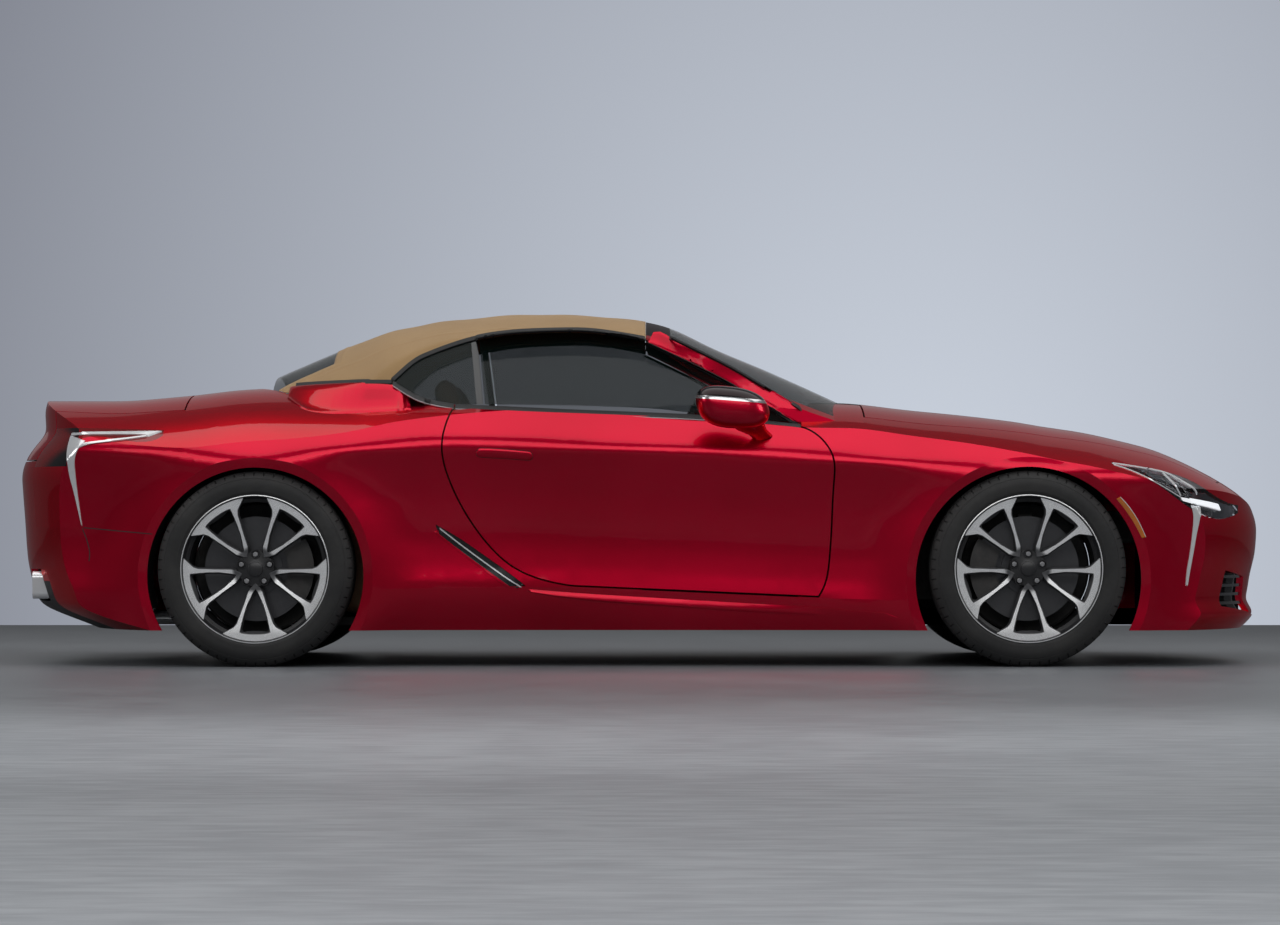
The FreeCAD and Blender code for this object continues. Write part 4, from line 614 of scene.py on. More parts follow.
class Surface:
    """The outside of some nodes, as seen from beside the car."""

    def __init__(self, *names):
        self.tree = BVHTree.FromPolygons(*soup(names)[:2])

    def from_outside(self, start, way, near):
        """Place and outward direction where a ray meets the surface, or else nearest to a point."""
        place, normal, _, _ = self.tree.ray_cast(start, way)
        if place is None or (place - near).length > FARTHEST_HIT:
            place, normal, _, _ = self.tree.find_nearest(near)
        return place, (normal if normal.dot(way) < 0 else -normal)

    def meet(self, x, z, side):
        near = Vector((x, side * FLANK_Y, z))
        start = Vector((x, side * OUTSIDE_Y, z))
        place, normal = self.from_outside(start, Vector((0, -side, 0)), near)
        return Vector((x, place.y, z)), normal


print("rays start at", OUTSIDE_Y, "m from the middle of the car")

# %% [markdown]
# On the real car a strip is pressed into clips, so its edge never floats. A shrinkwrap modifier
# could lay a grid on the body, but it picks the nearest place, which slides along a curved flank.
# A ray from beside the car keeps the outline in side view exactly as it was drawn.

# %% Pieces and bands
SIDES = (("right", -1), ("left", 1))
ACROSS_ROWS = (0.0, 0.01, 0.06, 0.25, 0.5, 0.75, 0.94, 0.99, 1.0)
MADE = []


def piece_from(work, name, finish, body="body", outward=None, sharp=40):
    """Turn a bmesh into a piece that rides on a body."""
    if outward is None:
        bmesh.ops.recalc_face_normals(work, faces=work.faces[:])
    else:
        work.normal_update()
        if sum(face.normal.dot(outward) * face.calc_area() for face in work.faces) < 0:
            bmesh.ops.reverse_faces(work, faces=work.faces[:])
    mesh = bpy.data.meshes.new(name)
    work.to_mesh(mesh)
    work.free()
    mesh.polygons.foreach_set("use_smooth", [True] * len(mesh.polygons))
    mesh.set_sharp_from_angle(angle=math.radians(sharp))
    mesh.materials.append(finish.material)
    piece = bpy.data.objects.new(name, mesh)
    bpy.context.collection.objects.link(piece)
    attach(piece, body)
    MADE.append(name)
    return piece


def band(name, surface, upper, lower, finish, side, body="body", proud=0.003, columns=48,
         sink=0.004, rise=None, soften=0, loose=False):
    """A raised band between two side view lines, laid on a surface.

    rise is the height as a function, and soften evens out the depth of the inner points, or of all
    points where the band is loose.
    """
    work = bmesh.new()
    last = len(ACROSS_ROWS) - 1
    bmesh.ops.create_grid(work, x_segments=columns, y_segments=last, size=1)
    for vertex in work.verts:
        along = (vertex.co.x + 1) / 2
        share = ACROSS_ROWS[round((vertex.co.y + 1) / 2 * last)]
        one, two = upper.at(along), lower.at(along)
        x, z = (a + (b - a) * share for a, b in zip(one, two))
        place, out = surface.meet(x, z, side)
        rim = share in (0.0, 1.0) or along < 1e-5 or along > 1 - 1e-5
        lift = proud if rise is None else rise(along, share)
        vertex.co = place + out * (-sink if rim else lift)
    inner = [vertex for vertex in work.verts if loose or not vertex.is_boundary]
    for turn in range(soften):
        bmesh.ops.smooth_vert(work, verts=inner, factor=0.5, use_axis_y=True)
    return piece_from(work, name, finish, body, Vector((0, side, 0)))


def strip(name, surface, line, width, finish, side, **options):
    """A band of one width along a line."""
    return band(name, surface, Beside(line, width / 2), Beside(line, -width / 2), finish, side, **options)


FLANKS = {label: Surface("door_" + label, "fender_" + label, "quarter_panel_" + label, "front_bumper",
                         "rear_bumper", "sills", "headlamps", "tail_lamps") for label, _ in SIDES}
HOUSES = {label: Surface("door_glass_" + label, "quarter_glasses", "soft_top", "windscreen_frame",
                         "glass_bars") for label, _ in SIDES}
print("surfaces", len(FLANKS) + len(HOUSES))

# %% [markdown]
# ## Window surrounds
#
# Rubber seals frame the side glass: a black one under the cloth's hem, a thin one under the red
# pillar, and a wiper seal with a thin bright edge along the belt. The belt seal fills the ledge
# between the glass and the door, so its section is swept between the two surfaces. The pillar gets
# a painted cover whose points are evened out, since it joins the frame and the door glass.

# %% Window surrounds
WINDOW_TOP = Line((-0.93, 1.06), (-0.851, 1.1325), (-0.7864, 1.1675), (-0.6429, 1.2186), (-0.4994, 1.2455),
                  (-0.2985, 1.2562), (-0.1622, 1.2522), (0.0258, 1.2213))
PILLAR_UNDER = Line((0.022, 1.2163), (0.182, 1.1406), (0.3286, 1.0652), (0.4836, 0.9711), (0.6, 0.899))
PILLAR_RED = Line((0.034, 1.218), (0.182, 1.145), (0.3286, 1.07), (0.4836, 0.977), (0.59, 0.911))
BELTS = {"door": Line((-0.688, 0.9655), (-0.277, 0.9455), (0.245, 0.9227), (0.604, 0.8892)),
         "quarter": Line((-0.926, 1.0545), (-0.88, 1.025), (-0.8295, 0.998), (-0.765, 0.979),
                         (-0.694, 0.9665))}
BELT_SECTION = ((0.0, 0.015, -0.002), (0.0, 0.015, 0.004), (0.25, 0.013, 0.005), (0.7, 0.005, 0.005),
                (1.0, -0.003, 0.003), (1.0, -0.006, 0.003), (1.0, -0.009, -0.004))
BELT_EDGE_ROWS, BELT_EDGE_PROUD = BELT_SECTION[4:], 0.0012
BELT_UP, BELT_DOWN = 0.018, 0.01
LEDGE_LEAST, LEDGE_MOST = 0.006, 0.035
ROOF_SEAL, PILLAR_SEAL, PILLAR_LINE = 0.015, 0.009, 0.006
PILLAR_WIDTH = 0.046


def belt(name, line, house, flank, finish, side, body, rows, grow):
    """A seal from the glass to the panel below it: rows of share across, height and distance out."""
    work = bmesh.new()
    last = len(rows) - 1
    bmesh.ops.create_grid(work, x_segments=60, y_segments=last, size=1)
    for vertex in work.verts:
        x, z = line.at((vertex.co.x + 1) / 2)
        share, lift, out = rows[round((vertex.co.y + 1) / 2 * last)]
        glass_y = abs(house.meet(x, z + BELT_UP, side)[0].y)
        panel_y = abs(flank.meet(x, z - BELT_DOWN, side)[0].y)
        panel_y = min(max(panel_y, glass_y + LEDGE_LEAST), glass_y + LEDGE_MOST)
        y = glass_y + (panel_y - glass_y) * share + out + grow
        vertex.co = Vector((x, side * y, z + lift))
    return piece_from(work, name, finish, body, Vector((0, side, 0)))


for label, side in SIDES:
    house, flank = HOUSES[label], FLANKS[label]
    pillar = Surface("windscreen_frame", "door_glass_" + label)
    strip("roof_seal_" + label, house, Beside(WINDOW_TOP, 0.006), ROOF_SEAL, seal, side,
          proud=0.0065, columns=90)
    strip("pillar_seal_" + label, house, Beside(PILLAR_UNDER, -0.004), PILLAR_SEAL, seal, side,
          proud=0.004, columns=60)
    band("pillar_cover_" + label, pillar, Beside(PILLAR_RED, PILLAR_WIDTH), PILLAR_RED, paint, side,
         proud=0.009, columns=26, soften=60, loose=True)
    strip("pillar_line_" + label, pillar, Beside(PILLAR_RED, PILLAR_WIDTH + 0.001), PILLAR_LINE,
          seal, side, proud=0.0095, columns=26)
    for part, body in (("door", "door_" + label), ("quarter", "body")):
        belt("%s_belt_seal_%s" % (part, label), BELTS[part], house, flank, seal, side, body,
             BELT_SECTION, 0.0)
        belt("%s_belt_edge_%s" % (part, label), BELTS[part], house, flank, bright, side, body,
             BELT_EDGE_ROWS, BELT_EDGE_PROUD)
print("pieces so far", len(MADE))

# %% [markdown]
# ## Side details
#
# Behind each door a black slot with a bright blade follows the crease down to the sill. The door
# handle is a flush pill: a black shadow gap first, and the painted pill on top of it. The same
# trick, a hair line of black under a painted band, draws the seams of the rear bumper.

# %% Side details
VENT_UPPER = Line((-0.76, 0.53), (-0.664, 0.475), (-0.579, 0.416), (-0.4935, 0.356), (-0.42, 0.3))
VENT_LOWER = Line((-0.748, 0.496), (-0.664, 0.431), (-0.579, 0.368), (-0.4935, 0.306), (-0.448, 0.29))
VENT_BLADE = Line((-0.747, 0.518), (-0.664, 0.453), (-0.579, 0.39), (-0.4935, 0.329), (-0.435, 0.293))
VENT_EDGE = Line((-0.76, 0.508), (-0.748, 0.493), (-0.664, 0.427), (-0.579, 0.364), (-0.4935, 0.302),
                 (-0.445, 0.287))
HANDLE_UPPER = Line((-0.606, 0.7945), (-0.6, 0.805), (-0.585, 0.812), (-0.5, 0.808), (-0.415, 0.8),
                    (-0.4, 0.792), (-0.395, 0.783))
HANDLE_LOWER = Line((-0.606, 0.7925), (-0.6, 0.784), (-0.585, 0.779), (-0.5, 0.774), (-0.415, 0.768),
                    (-0.4, 0.773), (-0.395, 0.781))
HANDLE_GAP, HANDLE_PROUD = 0.0022, 0.004
REAR_SEAMS = (Line((-2.074, 0.517), (-1.94, 0.505), (-1.804, 0.493)),
              Line((-2.077, 0.516), (-2.06, 0.475), (-2.048, 0.4275), (-2.05, 0.39)))

for label, side in SIDES:
    flank = FLANKS[label]
    band("side_slot_" + label, flank, VENT_UPPER, VENT_LOWER, gloss_black, side, proud=0.0012)
    strip("side_blade_" + label, flank, VENT_BLADE, 0.005, bright, side, proud=0.005)
    strip("side_crease_" + label, flank, VENT_EDGE, 0.006, paint, side, proud=0.004)
    door = "door_" + label
    band("handle_gap_" + label, flank, Beside(HANDLE_UPPER, HANDLE_GAP),
         Beside(HANDLE_LOWER, -HANDLE_GAP), seal, side, body=door, proud=0.0006)
    band("door_handle_" + label, flank, HANDLE_UPPER, HANDLE_LOWER, paint, side, body=door, sink=0.0,
         rise=lambda along, share: HANDLE_GAP + HANDLE_PROUD * (4 * share * (1 - share)) ** 0.5)
    for index, line in enumerate(REAR_SEAMS):
        strip("bumper_seam_%d_%s" % (index, label), flank, line, 0.0035, seal, side, proud=0.0006, sink=0.001)
print("pieces so far", len(MADE))

# %% [markdown]
# ## Lamps
#
# A lamp is a clear cover over a black bowl with a few bright reflectors, and a bright frame round
# it. Inner pieces are laid on the same surface as the cover but sunk well behind it.

# %% Lamps
LAMP_UPPER = Line((1.758, 0.757), (1.86, 0.742), (1.955, 0.724), (2.01, 0.698), (2.062, 0.664), (2.078, 0.64))
LAMP_LOWER = Line((1.762, 0.752), (1.83, 0.728), (1.9, 0.694), (1.96, 0.661), (2.005, 0.634), (2.03, 0.622))
LAMP_RIB = Line((1.952, 0.722), (1.985, 0.682), (2.012, 0.634))
BOWL_DEPTH, BOWL_HOLLOW = 0.034, 0.05
BLADE_UPPER = Line((2.01, 0.63), (2.075, 0.6205), (2.13, 0.611), (2.166, 0.603))
BLADE_LOWER = Line((2.016, 0.6185), (2.075, 0.602), (2.13, 0.59), (2.176, 0.579))
STRIP_FRONT = Line((2.085, 0.599), (2.086, 0.5585), (2.0726, 0.4869), (2.0606, 0.4157),
                   (2.05, 0.36), (2.0394, 0.2969))
STRIP_BACK = Line((2.05, 0.599), (2.06, 0.5585), (2.056, 0.4869), (2.0465, 0.4157),
                  (2.037, 0.36), (2.031, 0.2969))
MARKER_OUTER = Line((1.781, 0.632), (1.814, 0.595), (1.848, 0.544), (1.879, 0.479))
MARKER_INNER = Line((1.769, 0.626), (1.8, 0.588), (1.835, 0.536), (1.867, 0.476))
TAIL_TOP = (Line((-1.7765, 0.8745), (-1.854, 0.8735), (-2.0, 0.8715), (-2.126, 0.869)),
            Line((-1.827, 0.853), (-1.854, 0.861), (-2.0, 0.862), (-2.126, 0.86)))
TAIL_LOW = (Line((-1.831, 0.859), (-1.9, 0.85), (-1.971, 0.842), (-2.044, 0.834), (-2.095, 0.826)),
            Line((-1.831, 0.854), (-1.9, 0.844), (-1.971, 0.835), (-2.044, 0.826), (-2.095, 0.808)))
TAIL_BLADE = (Line((-2.1215, 0.864), (-2.129, 0.8034), (-2.1215, 0.7183), (-2.105, 0.6493),
                   (-2.0765, 0.5196)),
              Line((-2.056, 0.842), (-2.086, 0.806), (-2.099, 0.767), (-2.097, 0.71), (-2.089, 0.629),
                   (-2.075, 0.522)))

bowl_black = plain("lamp_bowl", (30,), ((0.012, 0.012, 0.013), (0.03, 0.03, 0.032)), 0.25, 0.2, (70,),
                   coat_weight=0.5)
white_bar = Finish("white_light_bar", emission_strength=0.55, coat_weight=1.0, roughness=0.15)
white_bar.set(base_color=white_bar.mix(white_bar.noise(30), (0.8, 0.82, 0.84), (0.88, 0.89, 0.9)),
              emission_color=white_bar.mix(white_bar.noise(20), (0.85, 0.9, 1.0), (0.95, 0.97, 1.0)))

for label, side in SIDES:
    flank = FLANKS[label]
    band("headlamp_bowl_" + label, flank, Beside(LAMP_UPPER, -0.004), Beside(LAMP_LOWER, 0.004),
         bowl_black, side, sink=0.026,
         rise=lambda along, share: -BOWL_DEPTH - BOWL_HOLLOW * along * 4 * share * (1 - share))
    strip("headlamp_edge_" + label, flank, LAMP_UPPER, 0.005, bright, side, proud=0.0025)
    strip("headlamp_sill_" + label, flank, LAMP_LOWER, 0.004, bright, side, proud=0.0025)
    strip("headlamp_rib_" + label, flank, LAMP_RIB, 0.006, bright, side, proud=0.002)
    band("light_bar_" + label, flank, BLADE_UPPER, BLADE_LOWER, white_bar, side, proud=0.006)
    band("nose_strip_" + label, flank, STRIP_FRONT, STRIP_BACK, bright, side, proud=0.005)
    band("side_marker_" + label, flank, MARKER_OUTER, MARKER_INNER, amber, side, proud=0.004)
    strip("side_marker_edge_" + label, flank, Beside(MARKER_OUTER, 0.001), 0.003, bright, side, proud=0.0035)
    band("tail_frame_top_" + label, flank, *TAIL_TOP, bright, side, proud=0.005)
    band("tail_frame_low_" + label, flank, *TAIL_LOW, bright, side, proud=0.005)
    band("tail_blade_" + label, flank, *TAIL_BLADE, bright, side, proud=0.006)
print("pieces so far", len(MADE))

# %% [markdown]
# ## Door mirrors
#
# A mirror's shell is a squashed ball, leaned forward and cut flat where the glass is. It has three
# colours: a black cap, a bright band and the body's red. The mask reads the height, less a slope
# that follows the band.

# %% Mirror finish
BAND_TOP, BAND_LOW, BAND_SLOPE = 1.0035, 0.9915, 0.075
BAND_FOOT, BAND_EDGE = 0.25, 0.0006

mirror_shell = Finish("mirror_shell", **CANDY)
mirror_x, _, mirror_z = mirror_shell.axes()
band_height = mirror_z + (mirror_x - BAND_FOOT) * BAND_SLOPE
capped = band_height.between(BAND_TOP - BAND_EDGE, BAND_TOP + BAND_EDGE)
banded = band_height.between(BAND_LOW - BAND_EDGE, BAND_LOW + BAND_EDGE)
shell_red = mirror_shell.mix(mirror_shell.noise(1.1, 3), RED_LOW, RED_HIGH)
below_cap = mirror_shell.mix(banded, shell_red, (0.72, 0.72, 0.73))
mirror_shell.set(base_color=mirror_shell.mix(capped, below_cap, (0.008, 0.008, 0.009)),
                 metallic=CANDY_METAL - capped * CANDY_METAL, roughness=0.3 - banded * 0.12)
print("mirror band", BAND_LOW, "to", BAND_TOP, "m high")

# %% [markdown]
# The shell could be a smoothed box. A ball whose points are pushed towards a box's corners gets its
# even roundness from one exponent instead. The foot is a ring that is extruded station by station
# down to the door, so that it meets the panel wherever that lies.

# %% Door mirrors
MIRROR_MIDDLE = Vector((0.345, 0.989, 0.9625))
MIRROR_HALVES = Vector((0.132, 0.098, 0.0785))
MIRROR_LEAN = 0.28
MIRROR_CUT_X = 0.252
MIRROR_SQUARE, MIRROR_TAPER, MIRROR_DROP = 2.6, 0.18, 0.16
MIRROR_CUT_LEAN = 0.12
FOOT_X, FOOT_Z = 0.462, 0.845


def everything(work):
    return work.verts[:] + work.edges[:] + work.faces[:]


def kind_of(geometry, kind):
    return [part for part in geometry if isinstance(part, kind)]


def foot_stations(door_y):
    """Middle and half sizes of the foot's section, from the shell to the door."""
    middle = MIRROR_MIDDLE.y
    return (((0.395, middle - 0.03, 0.915), (0.06, 0.034)),
            ((0.413, middle - 0.045, 0.893), (0.05, 0.024)),
            ((0.44, (middle + door_y) / 2 - 0.03, 0.872), (0.034, 0.018)),
            ((FOOT_X, door_y - 0.012, 0.852), (0.034, 0.016)))


for label, side in SIDES:
    shell = bmesh.new()
    bmesh.ops.create_uvsphere(shell, u_segments=64, v_segments=40, radius=1)
    for vertex in shell.verts:
        x, y, z = vertex.co
        square = sum(abs(value) ** MIRROR_SQUARE for value in vertex.co) ** (-1 / MIRROR_SQUARE)
        x, y, z = x * square, y * square, z * square
        lean = z * MIRROR_HALVES.z * MIRROR_LEAN
        vertex.co = Vector((MIRROR_MIDDLE.x + x * MIRROR_HALVES.x - lean,
                            side * (MIRROR_MIDDLE.y + y * MIRROR_HALVES.y * (1 - MIRROR_TAPER * x)),
                            MIRROR_MIDDLE.z + z * MIRROR_HALVES.z * (1 - MIRROR_DROP * x * (z > 0))))
    cut = bmesh.ops.bisect_plane(shell, geom=everything(shell), clear_inner=True,
                                 plane_co=(MIRROR_CUT_X, 0, 0), plane_no=(1, 0, MIRROR_CUT_LEAN))
    rim = kind_of(cut["geom_cut"], bmesh.types.BMEdge)
    fill_face = bmesh.ops.contextual_create(shell, geom=rim)["faces"]
    bmesh.ops.inset_region(shell, faces=fill_face, thickness=0.004, depth=0.0)
    bmesh.ops.inset_region(shell, faces=fill_face, thickness=0.001, depth=-0.006)
    head = piece_from(shell, "mirror_shell_" + label, mirror_shell, "door_" + label, sharp=35)
    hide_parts("door_mirror_" + label)
    foot = bmesh.new()
    ring = bmesh.ops.create_circle(foot, cap_ends=False, segments=28, radius=1)["verts"]
    door_y = abs(FLANKS[label].meet(FOOT_X, FOOT_Z, side)[0].y)
    loop = foot.edges[:]
    shape = [vertex.co.copy() for vertex in ring]
    order = {vertex: index for index, vertex in enumerate(ring)}
    for step, (place, (long, short)) in enumerate(foot_stations(door_y)):
        if step:
            geom = bmesh.ops.extrude_edge_only(foot, edges=loop)["geom"]
            loop = kind_of(geom, bmesh.types.BMEdge)
            order = {vertex: order[min(order, key=lambda old: (old.co - vertex.co).length)]
                     for vertex in kind_of(geom, bmesh.types.BMVert)}
        for vertex, index in order.items():
            u, v = shape[index].x, shape[index].y
            vertex.co = Vector((place[0] + u * long, side * (place[1] + v * short),
                                place[2] + u * long * 0.25 - v * short * 0.5))
    piece_from(foot, "mirror_foot_" + label, paint, "door_" + label)
print("pieces so far", len(MADE))

# %% [markdown]
# ## Lower edges and dark backs
#
# The sill has a sharp lip that sweeps down to the front wheel. Behind the front openings and above
# the tyres, plain dark panels stop the view, as ducts and liners do on the real car. A low one on
# the middle line of the car is painted shade: a dark sheet that stands for the shadow under the car
# between the front wheels.

# %% Sill lip and dark panels
SILL_TOP = Line((-0.425, 0.29), (-0.2, 0.272), (0.2, 0.248), (0.6, 0.224), (0.93, 0.198))
SILL_LOW = Line((-0.415, 0.278), (-0.2, 0.248), (0.2, 0.218), (0.6, 0.195), (0.97, 0.183))
DUCT_FRONT, DUCT_BACK = (2.325, 0.15), (2.02, 0.74)
DUCT_HEIGHTS = (0.175, 0.62)
LIP_BASE, LIP_PROUD, LIP_RIDGE = 0.0015, 0.01, 0.7
SHADE_REACH, SHADE_HEIGHTS = (0.52, -0.44), (0.138, 0.2)
# Half width, lowest and highest place, and half length of the walls inside the wheel arches
WALLS = {"front": (0.455, 0.62, 0.775, 0.36), "rear": (0.568, 0.6, 0.765, 0.36)}


def dark_panel(name, start, end, heights, side, finish):
    """An upright panel from one place in plan view to another."""
    work = bmesh.new()
    bmesh.ops.create_grid(work, x_segments=12, y_segments=8, size=1)
    for vertex in work.verts:
        along, up = (vertex.co.x + 1) / 2, (vertex.co.y + 1) / 2
        x, y = start[0] + (end[0] - start[0]) * along, start[1] + (end[1] - start[1]) * along
        vertex.co = Vector((x, side * y, heights[0] + (heights[1] - heights[0]) * up))
    bmesh.ops.solidify(work, geom=work.faces[:], thickness=0.003)
    return piece_from(work, name, finish)


def lip_height(along, share):
    """Highest at its ridge, and fading out to both ends."""
    ridge = max(0, 1 - abs(share - LIP_RIDGE) / LIP_RIDGE)
    return LIP_BASE + LIP_PROUD * ridge * math.sin(math.pi * min(1, along * 1.2 + 0.05)) ** 0.5


for label, side in SIDES:
    band("sill_lip_" + label, FLANKS[label], SILL_TOP, SILL_LOW, paint, side, columns=90, sink=0.003,
         rise=lip_height)
    dark_panel("duct_back_" + label, DUCT_FRONT, DUCT_BACK, DUCT_HEIGHTS, side, grained)
    for end, (y, low, high, reach) in WALLS.items():
        middle = AXLES[end].x
        dark_panel("wheel_house_%s_%s" % (end, label), (middle + reach, y), (middle - reach, y),
                   (low, high), side, underbody)
# Painted shade: a dark sheet for the shadow under the car between the front wheels
dark_panel("front_floor_shade", *[(AXLES["front"].x + reach, 0.0) for reach in SHADE_REACH],
           SHADE_HEIGHTS, -1, underbody)
print("pieces so far", len(MADE))

# %% [markdown]
# ## Wheels and tyres
#
# Most of a wheel is round, so it is turned: a chain of points is spun about the axle, as a lathe
# turns the real rim. A profile of a dozen points gives every step and lip of it.

# %% Turned parts

wheel_dark = plain("wheel_black", (20,), ((0.01, 0.01, 0.011), (0.022, 0.022, 0.024)), 0.3, 0.15, (60,),
                   coat_weight=0.15)


def lathe(name, centre, profile, finish, body, steps=180, closed=False, shape=None):
    """Spin a chain of (radius, y) points about an axle along Y."""
    work = bmesh.new()
    chain = [work.verts.new((centre[0], y, centre[2] + radius)) for radius, y in profile]
    edges = [work.edges.new(pair) for pair in zip(chain, chain[1:])]
    if closed:
        edges.append(work.edges.new((chain[-1], chain[0])))
    bmesh.ops.spin(work, geom=chain + edges, cent=centre, axis=(0, 1, 0), angle=math.tau, steps=steps,
                   use_merge=True)
    bmesh.ops.remove_doubles(work, verts=work.verts[:], dist=1e-5)
    if shape:
        shape(work)
    return piece_from(work, name, finish, body, sharp=32)


print("turned finish", wheel_dark.material.name)

# %% [markdown]
# A tyre comes out of a mould, with grooves round its tread and short slots, called sipes, across
# its shoulders. The turned chain has the grooves in it. Every sixth column of the shoulder is then
# pressed in, which gives sixty sipes, and the same on the outer ribs. A bump texture would be
# lighter, but the shoulder shows against the arch, and its outline has to be notched.

# %% Tyres
PROFILE_STEPS = 360
SIPE_EVERY = 6
# Radius and inset of the sidewall, then drop and inset of the shoulder, drop and place in a groove
SIDEWALL = ((0.2665, 0.03), (0.2705, 0.014), (0.279, 0.0065), (0.283, 0.005), (0.2845, 0.0035),
            (0.286, 0.0035), (0.2875, 0.002), (0.3, 0.0004), (0.311, 0), (0.323, 0.001),
            (0.333, 0.0045), (0.3342, 0.0066), (0.3358, 0.007), (0.337, 0.0068), (0.346, 0.011))
SHOULDER = ((0.0125, 0.016), (0.0075, 0.02), (0.0038, 0.026), (0.0012, 0.034))
GROOVE = ((0.0004, 0.0055), (0.0075, 0.0038), (0.0075, -0.0038), (0, -0.0055))
GROOVE_SHARES = (0.3, 0.1)
SHOULDER_DROP, SHOULDER_IN, SHOULDER_OUT = 0.02, 0.036, 0.0125
RIB_DROP, RIB_FROM = 0.002, 0.66


def tyre_profile(centre, half, radius):
    """From one bead over the tread to the other bead."""
    side = [(r, half - inset) for r, inset in SIDEWALL]
    side += [(radius - drop, half - inset) for drop, inset in SHOULDER]
    for share in GROOVE_SHARES:
        groove = share * half * 2
        side += [(radius - drop, groove + out) for drop, out in GROOVE]
    return [(r, centre.y + out) for r, out in side] + [(r, centre.y - out) for r, out in reversed(side)]


def sipes(centre, half, radius):
    """Press short slots into the shoulders and the outer ribs."""
    def press(work):
        chosen = []
        for face in work.faces:
            middle = face.calc_center_median()
            away = math.hypot(middle.x - centre.x, middle.z - centre.z)
            turn = math.atan2(middle.z - centre.z, middle.x - centre.x) % math.tau
            out = abs(middle.y - centre.y)
            shoulder = away > radius - SHOULDER_DROP and half - SHOULDER_IN < out < half - SHOULDER_OUT
            rib = away > radius - RIB_DROP and half * RIB_FROM < out <= half - SHOULDER_IN
            column = int(turn / math.tau * PROFILE_STEPS)
            if (shoulder and column % SIPE_EVERY == 0) or (rib and column % SIPE_EVERY == 3):
                chosen.append(face)
        bmesh.ops.inset_region(work, faces=chosen, thickness=0.0016, depth=-0.0045, use_even_offset=True)
    return press


print("sipes a shoulder", PROFILE_STEPS // SIPE_EVERY)

# %% [markdown]
# The spokes are five V shapes. One leg is a flat grid, bent into place station by station: a
# bright machined face with a dark wall on each side and a flat back. It is mirrored and then
# turned four times. A narrow bevel round the machined face catches the light as a cut edge does.

# %% Spokes
SPOKES = 5
LEG_OUTER = ((0, 0.053), (0.014, 0.067), (0.027, 0.085), (0.041, 0.128), (0.055, 0.166), (0.067, 0.2),
             (0.078, 0.215), (0.1225, 0.2395), (0.093, 0.2515), (0.06, 0.2612), (0.03, 0.2665), (0, 0.2682))
LEG_INNER = ((0, 0.076), (0.006, 0.082), (0.012, 0.094), (0.0295, 0.132), (0.042, 0.172), (0.05, 0.205),
             (0.054, 0.222), (0.0565, 0.2335), (0.05, 0.2365), (0.038, 0.239), (0.02, 0.2412), (0, 0.242))
LEG_DEPTHS = (0.031, 0.03, 0.028, 0.021, 0.016, 0.011, 0.009, 0.006, 0.006, 0.006, 0.006, 0.006)
WALL_DEPTH, WALL_SPREAD = 0.026, 0.005
RIM_STATION = 7
CREASE_ANGLE, CREASE_DEEPEST, CREASE_FACING = 0.7, 0.034, 0.85

def leg_point(station, row):
    """Rows go from the outer wall's foot over the face to the inner foot, and back."""
    (ou, ov), (iu, iv), depth = LEG_OUTER[station], LEG_INNER[station], LEG_DEPTHS[station]
    across = Vector((ou - iu, ov - iv)).normalized() * WALL_SPREAD
    on_rim = station >= RIM_STATION
    if row in (0, 4):
        spread = 0.0 if on_rim or ou == 0 else 1.0
        return ou + across.x * spread, ov + across.y * spread, depth + WALL_DEPTH
    if row == 1:
        return ou, ov, depth
    if row == 2:
        return iu, iv, depth + 0.001
    spread = 2.6 if on_rim else 1.0
    return (iu - across.x * spread if iu else 0, iv - across.y * spread, depth + WALL_DEPTH)


def spokes(name, centre, face, side, finish, body):
    """Five V spokes. face is the distance of the rim's outer plane from the middle of the car."""
    work = bmesh.new()
    last = len(LEG_OUTER) - 1
    bmesh.ops.create_grid(work, x_segments=last, y_segments=4, size=1)
    for vertex in work.verts:
        station, row = round((vertex.co.x + 1) / 2 * last), round((vertex.co.y + 1) / 2 * 4)
        u, v, depth = leg_point(station, row)
        vertex.co = Vector((u, depth, v))
    bmesh.ops.remove_doubles(work, verts=work.verts[:], dist=1e-5)
    bmesh.ops.mirror(work, geom=everything(work), axis="X", merge_dist=1e-5)
    leg = everything(work)
    for turn in range(1, SPOKES):
        copy = bmesh.ops.duplicate(work, geom=leg)["geom"]
        bmesh.ops.rotate(work, verts=kind_of(copy, bmesh.types.BMVert), cent=(0, 0, 0),
                         matrix=Matrix.Rotation(math.tau * turn / SPOKES, 3, "Y"))
    bmesh.ops.recalc_face_normals(work, faces=work.faces[:])
    edges = [edge for edge in work.edges
             if len(edge.link_faces) == 2 and edge.calc_face_angle(0) > CREASE_ANGLE
             and min(f.calc_center_median().y for f in edge.link_faces) < CREASE_DEEPEST
             and any(abs(f.normal.y) > CREASE_FACING for f in edge.link_faces)]
    bmesh.ops.bevel(work, geom=edges, offset=0.0013, segments=1, profile=0.5, affect="EDGES", material=-1)
    for vertex in work.verts:
        u, depth, v = vertex.co
        vertex.co = Vector((centre.x + u, side * (face - depth), centre.z - v))
    return piece_from(work, name, finish, body, sharp=25)


print("stations along a spoke's leg", len(LEG_OUTER))

# %% [markdown]
# The rim behind the spokes is black, with small steps that show as fine rings. The hub carries five
# nuts in round wells and a plain cap. A dark splash shield stands behind each brake disc.

